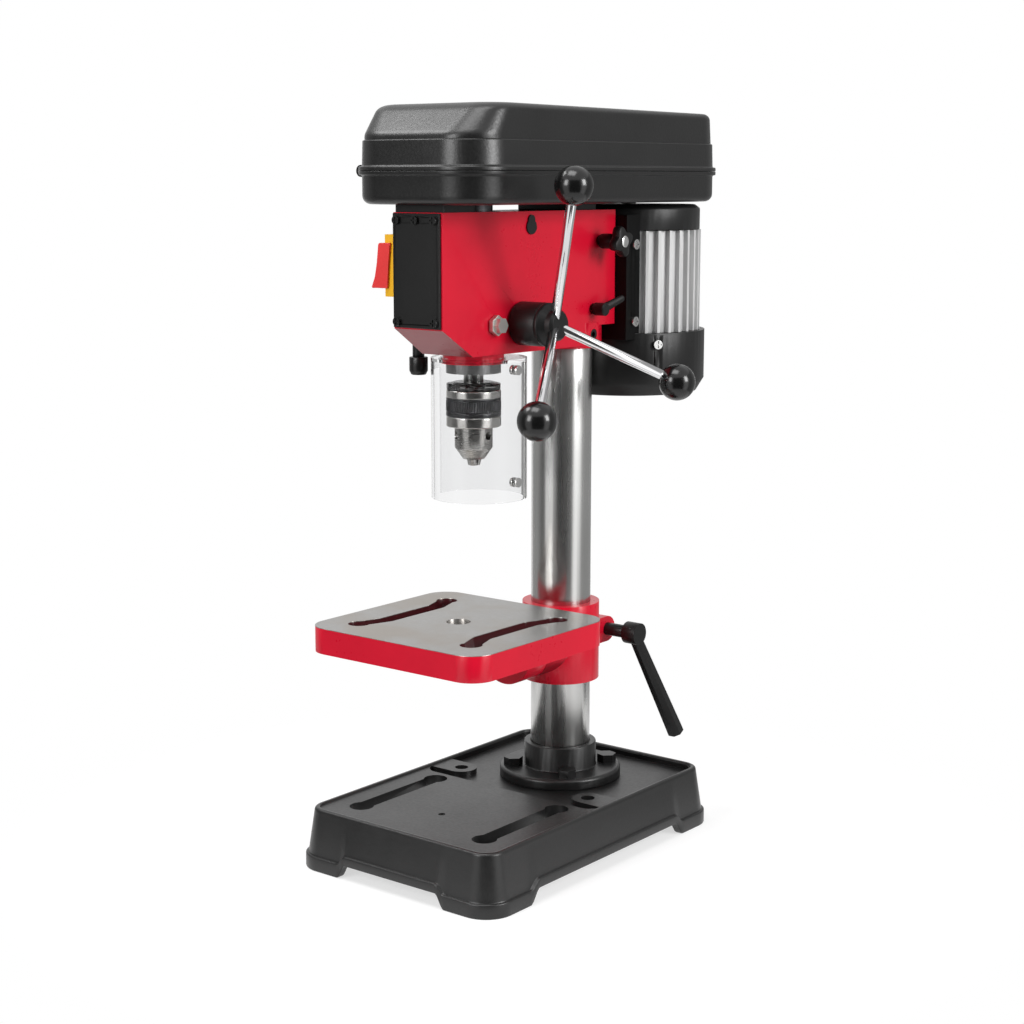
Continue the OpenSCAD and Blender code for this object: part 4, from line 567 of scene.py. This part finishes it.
# Quill and chuck. The steel quill slides in the head's nose and carries the spindle in two bearings. The
# chuck has a dark cap, a sleeve with polished rims and a knurled grip, and a body that tapers to the jaws.
def soften(points, reach, steps=5):
    """Polyline whose inner corners are swapped for short curves that begin and end reach from the corner, or
    at a share of a shorter side."""
    most = 0.45
    points = np.array(points, float)
    done = [points[:1]]
    blend = np.linspace(0, 1, steps)[:, None]
    for before, corner, after in zip(points[:-2], points[1:-1], points[2:]):
        ends = [corner + (side - corner) * min(most, reach / max(1e-9, np.linalg.norm(side - corner)))
                for side in (before, after)]
        done.append((1 - blend) ** 2 * ends[0] + 2 * blend * (1 - blend) * corner + blend ** 2 * ends[1])
    return np.concatenate(done + [points[-1:]])


def turned(name, profile, centre, axis="Z", count=96, smooth=40):
    """A profile of radius and distance along the axis, revolved round the axis through centre."""
    radius, along = np.array(profile, float).T
    angle = np.linspace(0, 2 * math.pi, count, endpoint=False)
    across = radius[:, None] * np.cos(angle), radius[:, None] * np.sin(angle)
    along = np.repeat(along[:, None], count, 1)
    order = {"Z": (across[0], across[1], along), "X": (along, across[0], across[1])}
    return skin(name, np.stack(order[axis], 2) + np.array(centre), smooth=smooth)


SPINDLE_Y = -43.8 * MM
SLEEVE_LOW, SLEEVE_TOP = 325.3 * MM, 351.9 * MM
SLEEVE_R, SLEEVE_BORE, NECK_BORE, RIM_CHAMFER = 19.85 * MM, 14.3 * MM, 13.3 * MM, 0.7 * MM
CAVITY_R, CAVITY_LOW, CAVITY_TOP, CAVITY_WALL = 18 * MM, 328.6 * MM, 348.9 * MM, 1 * MM
GRIP_LOW, GRIP_TOP, KNURL_LOW, KNURL_TOP = 332.8 * MM, 346.3 * MM, 336.4 * MM, 344.8 * MM
GROOVE, GROOVE_FLOOR, EDGE_SOFT = 0.45 * MM, 0.135 * MM, 0.25 * MM
KNURL_DEPTH, FLUTES, PER_FLUTE = 0.35 * MM, 64, 6
BAND_FADE, BAND_ROUGH = 0.1 * MM, 0.22
GRIP_DARK, CAP_DARK = (0.075, 0.075, 0.078), (0.10, 0.10, 0.10)
edge = [(NECK_BORE, SLEEVE_TOP), (NECK_BORE, CAVITY_TOP), (CAVITY_R, CAVITY_TOP), (CAVITY_R, CAVITY_LOW),
        (SLEEVE_BORE, CAVITY_LOW), (SLEEVE_BORE, SLEEVE_LOW), (SLEEVE_R - RIM_CHAMFER, SLEEVE_LOW),
        (SLEEVE_R, SLEEVE_LOW + RIM_CHAMFER)]
for groove in (GRIP_LOW, KNURL_LOW, KNURL_TOP, GRIP_TOP):
    edge += [(SLEEVE_R, groove - GROOVE), (SLEEVE_R - GROOVE, groove - GROOVE_FLOOR),
             (SLEEVE_R - GROOVE, groove + GROOVE_FLOOR), (SLEEVE_R, groove + GROOVE)]
edge += [(SLEEVE_R, SLEEVE_TOP - RIM_CHAMFER), (SLEEVE_R - RIM_CHAMFER, SLEEVE_TOP)]
radius, height = soften(edge, EDGE_SOFT, 3).T
angle = np.linspace(0, 2 * math.pi, FLUTES * PER_FLUTE, endpoint=False)
middle = np.linspace(KNURL_LOW + 2 * GROOVE, KNURL_TOP - 2 * GROOVE, 6)
outside = radius > CAVITY_R + CAVITY_WALL
cut = np.searchsorted(np.where(outside, height, -1), middle[0])
radius = np.concatenate([radius[:cut], np.full(len(middle), SLEEVE_R), radius[cut:]])
height = np.concatenate([height[:cut], middle, height[cut:]])
knurled = (height > KNURL_LOW + 1.5 * GROOVE) & (height < KNURL_TOP - 1.5 * GROOVE)
knurled &= radius > CAVITY_R + CAVITY_WALL
flute = KNURL_DEPTH * (0.5 + 0.5 * np.cos(FLUTES * angle)) ** 2
round_r = radius[:, None] - knurled[:, None] * flute
sleeve = skin("knurled_sleeve", np.stack([round_r * np.cos(angle), SPINDLE_Y + round_r * np.sin(angle),
                                          np.repeat(height[:, None], len(angle), 1)], 2), wrap_rows=True)
polished, wire, shader = finish("polished_sleeve", (0.56, 0.55, 0.53), 0.20, metal=1.0, grain=(60, 60, 1500),
                                bump=0.03, wear=0.12)
level = wire.node("ShaderNodeTexCoord", out=3).part("Z")
band = level.step(GRIP_LOW - BAND_FADE, GRIP_LOW + BAND_FADE)
band = band - level.step(GRIP_TOP - BAND_FADE, GRIP_TOP + BAND_FADE)
grip_tone = band.blend(feeding(wire, shader, "Base Color"), GRIP_DARK)
grip_rough = feeding(wire, shader, "Roughness") + band * BAND_ROUGH
wire.tree.links.new(grip_tone.socket, shader.inputs["Base Color"])
wire.tree.links.new(grip_rough.socket, shader.inputs["Roughness"])
paint(polished, sleeve)
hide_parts("chuck_sleeve")
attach(sleeve, "sleeve")

ground_body, wire, shader = finish("ground_body", (0.38, 0.372, 0.36), 0.27, metal=1.0, grain=(60, 60, 1500),
                                   bump=0.05, wear=0.14)
level = wire.node("ShaderNodeTexCoord", out=3).part("Z")
cap = level.step(SLEEVE_TOP, SLEEVE_TOP + 2 * BAND_FADE)
cap_tone = cap.blend(feeding(wire, shader, "Base Color"), CAP_DARK)
wire.tree.links.new(cap_tone.socket, shader.inputs["Base Color"])
quill_steel, _, _ = finish("quill_steel", (0.27, 0.27, 0.27), 0.34, metal=1.0, grain=(60, 60, 900), bump=0.04)
dress(ground_body, "chuck_body", width=0.35 * MM)
dress(ground_body, "chuck_jaw_1", "chuck_jaw_2", "chuck_jaw_3", width=0.15 * MM)
dress(quill_steel, "quill", width=0.4 * MM)
dress(ground_steel, "spindle", width=0.3 * MM)
dress(bare_steel, "quill_bearings")
zinc, _, _ = finish("zinc", (0.62, 0.61, 0.58), 0.42, metal=1.0, grain=(600, 600, 600), bump=0.04)
dress(zinc, "quill_guide_screw", "guide_nut", width=0.4 * MM)


# Feed handle. A black depth ring and hub on the feed shaft, three plated spokes screwed into the hub and a
# gloss black ball on each. Its spring winds up inside the cap on the head's left wall.
satin_black, _, _ = finish("satin_black", (0.005, 0.005, 0.005), 0.44, grain=(500, 500, 500), bump=0.05,
                           sheen=0.3)
chrome, _, _ = finish("chrome", (0.72, 0.72, 0.73), 0.11, metal=1.0, grain=(300, 300, 300), bump=0.015,
                      drift=0.03, wear=0.05)
ball_black, _, _ = finish("ball_black", (0.004, 0.004, 0.004), 0.20, grain=(300, 300, 300), bump=0.012,
                          wear=0.05)
spring_steel, _, _ = finish("spring_steel", (0.30, 0.31, 0.33), 0.30, metal=1.0)
FEED_Y, FEED_Z = -21.5 * MM, 399 * MM
BALL_R, BALL_ROWS = 13.5 * MM, 48
BALL_BOUNDS = (-90, 30)
corners = np.empty(len(node["feed_knobs"].data.vertices) * 3)
node["feed_knobs"].data.vertices.foreach_get("co", corners)
corners = corners.reshape(-1, 3)
bearing = np.arctan2(corners[:, 2] - FEED_Z, corners[:, 1] - FEED_Y)
third = np.digitize(np.degrees(bearing), BALL_BOUNDS)
for number, group in enumerate(np.unique(third)):
    own = corners[third == group]
    middle = (own.min(0) + own.max(0)) / 2
    polar = np.linspace(0, math.pi, BALL_ROWS)
    arc = np.stack([BALL_R * np.sin(polar), -BALL_R * np.cos(polar)], 1)
    ball = turned(f"ball_{number + 1}", arc, middle, smooth=80)
    paint(ball_black, ball)
    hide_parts("feed_knobs")
    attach(ball, "feed_handle")
dress(satin_black, "depth_ring", "feed_hub", width=0.6 * MM)
dress(chrome, "feed_spokes", width=0.2 * MM)
dress(bare_steel, "feed_shaft")
dress(spring_steel, "return_spring")
dress(plate_black, "spring_cap", width=0.8 * MM)


# Guard. A clear plastic cylinder round the chuck, clipped over the head's nose and open at one side, with two
# rivets near its free edge.
CLEAR_IOR = 1.14
clear, _, shader = finish("clear_plastic", (0.905, 0.907, 0.91), 0.03, grain=(40, 40, 40), bump=0.01,
                          drift=0.005, wear=0.02)
shader.inputs["Transmission Weight"].default_value = 1.0
shader.inputs["IOR"].default_value = CLEAR_IOR
dress(clear, "chuck_guard")
dress(bright_screw, "guard_rivets", width=0.3 * MM)


# Motor. A ribbed aluminium body between a black cap and a black fan cover, on a folded bracket that slides on
# two bars in the head. A star knob clamps the bars, and a small lever clamps the head.
ribbed_alu, _, _ = finish("ribbed_alu", (0.56, 0.56, 0.56), 0.60, metal=0.25, grain=(500, 500, 40), bump=0.05,
                          drift=0.05)
cap_black, _, _ = finish("cap_black", (0.006, 0.006, 0.006), 0.40, grain=(520, 520, 520), bump=0.12,
                         sheen=0.35)
iron, _, _ = finish("iron", (0.16, 0.16, 0.17), 0.45, metal=1.0, grain=(300, 300, 1500), bump=0.1)
dress(ribbed_alu, "motor_body", width=0.25 * MM)
dress(cap_black, "motor_top_cap", "motor_fan_cover", width=0.9 * MM)
dress(cap_black, "motor_fan", width=0.2 * MM)
bracket_black, _, _ = finish("bracket_black", (0.002, 0.002, 0.002), 0.55, grain=(520, 520, 520), bump=0.08,
                             sheen=0.12)
dress(bracket_black, "motor_bracket", width=0.5 * MM)
dress(bright_screw, "motor_screws", width=0.3 * MM)
dress(bare_steel, "slide_bars", "motor_shaft", width=0.3 * MM)
dress(iron, "motor_rotor", "motor_stator")
KNOB_Y, KNOB_Z, KNOB_R = 69.2 * MM, 455 * MM, 9.9 * MM
LOBES, LOBE_H, LOBE_TURN = 4, 2.1 * MM, math.radians(20)
KNOB_X = np.array([44.5, 45.2, 46.4, 50.2, 51.6, 52.2]) * MM
KNOB_SIZE = np.array([0.80, 0.94, 1.0, 1.0, 0.93, 0.78])[:, None]
STEM = np.array([(0.1, 31), (5, 31), (5.6, 32), (5.6, 44), (5, 45), (0.1, 45)]) * MM
STUD = np.array([(0.1, 51), (4.2, 51), (4.2, 52.6), (3.4, 53.2), (0.1, 53.4)]) * MM
angle = np.linspace(0, 2 * math.pi, 96, endpoint=False)
lobed = KNOB_SIZE * (KNOB_R + LOBE_H * np.cos(LOBES * (angle - LOBE_TURN)))
star = skin("star_knob", np.stack([np.repeat(KNOB_X[:, None], len(angle), 1), KNOB_Y + lobed * np.cos(angle),
                                   KNOB_Z + lobed * np.sin(angle)], 2))
stem = turned("knob_stem", STEM, (0, KNOB_Y, KNOB_Z), "X", 48)
stud = turned("knob_stud", STUD, (0, KNOB_Y, KNOB_Z), "X", 48)
LEVER_X, LEVER_Y, LEVER_Z = 37 * MM, 61.7 * MM, 405 * MM
LEVER_HUB = np.array([(0.1, 31), (4.4, 31), (4.8, 31.5), (4.8, 40.5), (4, 41.3), (0.1, 41.3)]) * MM
BAR_REACH, BAR_R, BAR_TAPER = np.array([5, 21, 8]) * MM, 3.7 * MM, 0.3
BAR_NOSE, BAR_TIP = 0.1, 0.02
BAR_WIDE, BAR_BACK, BAR_TALL = 0.8, 0.36, 0.93
lever_hub = turned("lever_hub", LEVER_HUB, (0, LEVER_Y, LEVER_Z), "X", 48)
run = np.linspace(0, 1, 16)
nose = np.maximum(0, (run - 1 + BAR_NOSE) / BAR_NOSE)
bar_r = (BAR_R * (1 - BAR_TAPER * run) * np.sqrt(np.maximum(0, 1 - nose ** 2) + BAR_TIP))[:, None]
middle = np.array([LEVER_X, LEVER_Y, LEVER_Z]) + run[:, None] * BAR_REACH
angle = np.linspace(0, 2 * math.pi, 32, endpoint=False)
lever_bar = skin("lever_bar", np.stack([middle[:, :1] + BAR_WIDE * bar_r * np.cos(angle),
                                        middle[:, 1:2] - BAR_BACK * bar_r * np.sin(angle),
                                        middle[:, 2:] + BAR_TALL * bar_r * np.sin(angle)], 2))
for piece, finish_of, name, body in ((star, satin_black, "tension_knob", "tension_screw"),
                                     (stem, satin_black, "tension_knob", "tension_screw"),
                                     (stud, bright_screw, "tension_knob", "tension_screw"),
                                     (lever_hub, satin_black, "head_lock_lever", "head_lock"),
                                     (lever_bar, satin_black, "head_lock_lever", "head_lock")):
    paint(finish_of, piece)
    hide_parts(name)
    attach(piece, body)


# Belt drive. Two cast aluminium step pulleys and a rubber V-belt between the spindle's splined sleeve and the
# motor's shaft. The belt lies on the middle steps.
cast_alu, _, _ = finish("cast_alu", (0.56, 0.57, 0.58), 0.33, metal=1.0, grain=(60, 60, 900), bump=0.05)
rubber, _, _ = finish("rubber", (0.018, 0.018, 0.018), 0.62, grain=(700, 700, 700), bump=0.15)
dress(cast_alu, "spindle_pulley", "motor_pulley", width=0.3 * MM)
dress(iron, "pulley_sleeve", "pulley_bearings")
MOTOR_Y = 147.7 * MM
BELT_AT_SPINDLE, BELT_AT_MOTOR, BELT_T, BELT_Z = 30.6 * MM, 22.6 * MM, 5.5 * MM, 514.6 * MM
BELT_HALF, BELT_FOOT_HALF, BELT_HELD = 2 * MM, 1.4 * MM, 40 * MM
MOTOR_ARC, SPINDLE_ARC, BELT_RUN = 40, 56, 24
lean = math.asin((BELT_AT_SPINDLE - BELT_AT_MOTOR) / (MOTOR_Y - SPINDLE_Y))
run = np.linspace(0, 1, BELT_RUN + 2)[1:-1]
share = np.concatenate([np.zeros(MOTOR_ARC), run, np.ones(SPINDLE_ARC), 1 - run])
angle = np.concatenate([np.linspace(lean, math.pi - lean, MOTOR_ARC), np.full(BELT_RUN, math.pi - lean),
                        np.linspace(math.pi - lean, 2 * math.pi + lean, SPINDLE_ARC),
                        np.full(BELT_RUN, lean)])
reach = BELT_AT_MOTOR + share * (BELT_AT_SPINDLE - BELT_AT_MOTOR)
axis = MOTOR_Y + share * (SPINDLE_Y - MOTOR_Y)
section = [(0, BELT_FOOT_HALF), (0, -BELT_FOOT_HALF), (BELT_T, -BELT_HALF), (BELT_T, BELT_HALF)]
belt = skin("belt", np.stack([np.stack([(reach + out) * np.cos(angle), axis + (reach + out) * np.sin(angle),
                                        np.full(len(angle), BELT_Z + up)], 1) for out, up in section]),
            wrap_rows=True)
paint(rubber, belt)
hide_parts("drive_belt")
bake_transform(belt)


# Belt cover. A pan and a lid moulded from black plastic with a fine grain, meeting at a lip. The lid's walls
# rise to a small shelf, from where its front rolls back to the top. Knuckles on the left carry the pins.
COVER_W, COVER_L, COVER_R, COVER_T = 119.8 * MM, 310.9 * MM, 32 * MM, 2.4 * MM
COVER_MID = 42.25 * MM
PAN_LOW, PARTING, SHELF, LID_TOP = 483.2 * MM, 506.2 * MM, 527 * MM, 550.8 * MM
LIP_W, LIP_H, LIP_EDGE, SEAM, BEAD_R, FILLET = 2.4 * MM, 3 * MM, 0.4 * MM, 0.06 * MM, 1.0 * MM, 1.3 * MM
PAN_ROUND, PAN_FLAT = 6 * MM, 1.5 * MM


def cover_row(inset, height, back=0.0, front_r=None, tilt=0.0):
    """The cover's outline drawn in by inset, its front moved back, its front corners of their own radius, and
    its height tilted up towards the front."""
    rear_r = COVER_R - inset
    front_r = rear_r if front_r is None else front_r
    corners = rear_r, rear_r, front_r, front_r
    ring, _ = rounded_outline(COVER_W - 2 * inset, COVER_L - 2 * inset - back, corners, corner=24, side=3)
    ring = ring + (0, COVER_MID + back / 2)
    level = height - tilt * (ring[:, 1:] - COVER_MID) / (COVER_L / 2)
    return np.concatenate([ring, level], 1)


def lip_rows(up):
    """Rows from the parting out over the lip's bead and in through its fillet to the wall, up or down."""
    turn = np.radians(np.linspace(0, 90, 6))
    rows = [cover_row(-LIP_W + LIP_EDGE, PARTING + up * SEAM)]
    rows += [cover_row(-LIP_W, PARTING + up * (SEAM + LIP_EDGE))]
    rows += [cover_row(BEAD_R * (1 - math.cos(t)) - LIP_W,
                       PARTING + up * (LIP_H - BEAD_R * (1 - math.sin(t)))) for t in turn]
    return rows + [cover_row(-FILLET * (1 - math.sin(t)), PARTING + up * (LIP_H + FILLET * (1 - math.cos(t))))
                   for t in turn]


turn = np.radians(np.linspace(0, -90, 8))
rows = [cover_row(PAN_ROUND, PAN_LOW + COVER_T), cover_row(COVER_T, PAN_LOW + PAN_ROUND),
        cover_row(COVER_T, PARTING - SEAM)]
rows += lip_rows(-1)
rows += [cover_row(PAN_ROUND * (1 - math.cos(t)), PAN_LOW + PAN_ROUND * (1 + math.sin(t))) for t in turn]
rows += [cover_row(PAN_ROUND + PAN_FLAT, PAN_LOW)]
pan = skin("belt_pan", np.stack(rows))
HINGE_X, HINGE_YS = -66.4 * MM, (-88.2 * MM, 139.7 * MM)
KNUCKLE_R, KNUCKLE_L, KNUCKLE_GAP = 4.2 * MM, 10 * MM, 0.3 * MM
LEAF, LEAF_RISE = 8.9 * MM, 5 * MM


def knuckle(y, up):
    """A hinge knuckle: a round bar along Y with a leaf towards the cover's wall, above or below the seam."""
    turn = -np.linspace(0, 1.5 * math.pi, 25)
    ring = np.stack([KNUCKLE_R * np.cos(turn), up * KNUCKLE_R * np.sin(turn)], 1)
    side = np.concatenate([ring, [[LEAF, up * LEAF_RISE], [LEAF, up * SEAM]]])
    ends = np.array([y, y + KNUCKLE_L])
    grid = np.stack([np.stack([HINGE_X + side[:, 0], np.full(len(side), end), PARTING + side[:, 1]], 1)
                     for end in ends])
    return skin("knuckle", grid)


BEARING_HOLE, SHAFT_HOLE, MOTOR_TRAVEL = 23.35 * MM, 11 * MM, 8 * MM
carve(pan, [knuckle(y, -1) for y in HINGE_YS], "UNION")
shaft_slot = slot_outline(0, MOTOR_Y - SHAFT_HOLE, MOTOR_Y + MOTOR_TRAVEL + SHAFT_HOLE, 2 * SHAFT_HOLE,
                          2 * SHAFT_HOLE, 2 * SHAFT_HOLE)
carve(pan, [prism("hole", plan, PAN_LOW - PAN_ROUND, PAN_LOW + PAN_ROUND)
            for plan in (disc(0, SPINDLE_Y, BEARING_HOLE, 64), shaft_slot)])
SHELF_W, SHELF_ROUND, SHELF_STEP, WALL_DRAFT = 1.3 * MM, 0.8 * MM, 0.3 * MM, 0.5 * MM
TOP_ROUND, TOP_DRAFT, TOP_FLAT, TOP_ROWS, WALL_ROWS = 5 * MM, 1.2 * MM, 2 * MM, 10, 14
LEDGE, EDGE_R, BROW_R, CORNER_TOP, TILT = 0.4 * MM, 7 * MM, 18 * MM, 19 * MM, 1.1 * MM
low = WALL_DRAFT + SHELF_W
lid_rise = LID_TOP - SHELF
over = np.sin(np.radians(np.linspace(90 / TOP_ROWS, 90, TOP_ROWS)))
rise = np.concatenate([np.linspace(SHELF_STEP, lid_rise - TOP_ROUND, WALL_ROWS),
                       lid_rise - TOP_ROUND + TOP_ROUND * over])
share = rise / lid_rise
half = math.sqrt(0.5)
foot_end, brow_start = EDGE_R * half, lid_rise - BROW_R * (1 - half)
foot = EDGE_R - np.sqrt(np.maximum(0, EDGE_R ** 2 - np.minimum(rise, foot_end) ** 2))
slope = np.clip(rise, foot_end, brow_start) - foot_end
lean = np.minimum(1, half + np.maximum(0, rise - brow_start) / BROW_R)
roll = LEDGE + foot + slope + BROW_R * (half - np.sqrt(1 - lean ** 2))
above = np.maximum(0, rise - (lid_rise - TOP_ROUND))
inset = low + TOP_DRAFT * share + TOP_ROUND - np.sqrt(np.maximum(0, TOP_ROUND ** 2 - above ** 2))
front_r = (COVER_R - low) * (1 - share) + CORNER_TOP * share
rows = [cover_row(inset[-1], LID_TOP - COVER_T, roll[-1], CORNER_TOP, TILT),
        cover_row(low + TOP_DRAFT + COVER_T, LID_TOP - TOP_ROUND, roll[WALL_ROWS] + COVER_T, CORNER_TOP,
                  TILT),
        cover_row(low + COVER_T, SHELF - COVER_T), cover_row(COVER_T, PARTING + SEAM)]
rows += lip_rows(1)
rows += [cover_row(WALL_DRAFT + SHELF_ROUND * (1 - math.cos(t)), SHELF - SHELF_ROUND * (1 - math.sin(t)))
         for t in np.radians(np.linspace(0, 80, 5))]
rows += [cover_row(i, SHELF + h, max(0, b - (i - low)), r, TILT * s)
         for i, h, b, r, s in zip(inset, rise, roll, front_r, share)]
rows += [cover_row(inset[-1] + TOP_FLAT, LID_TOP, roll[-1], CORNER_TOP, TILT)]
lid = skin("belt_lid", np.stack(rows))
carve(lid, [knuckle(y + KNUCKLE_L + KNUCKLE_GAP, 1) for y in HINGE_YS], "UNION")
grained_black, _, _ = finish("grained_black", (0.006, 0.006, 0.006), 0.34, grain=(520, 520, 520), bump=0.22,
                             wear=0.14)
for cover, body, name in ((pan, "stand", "cover_pan"), (lid, "lid", "pulley_lid")):
    paint(grained_black, cover)
    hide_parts(name)
    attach(cover, body)
dress(plate_black, "cover_pads", width=0.5 * MM)
dress(bare_steel, "lid_hinge_pins")
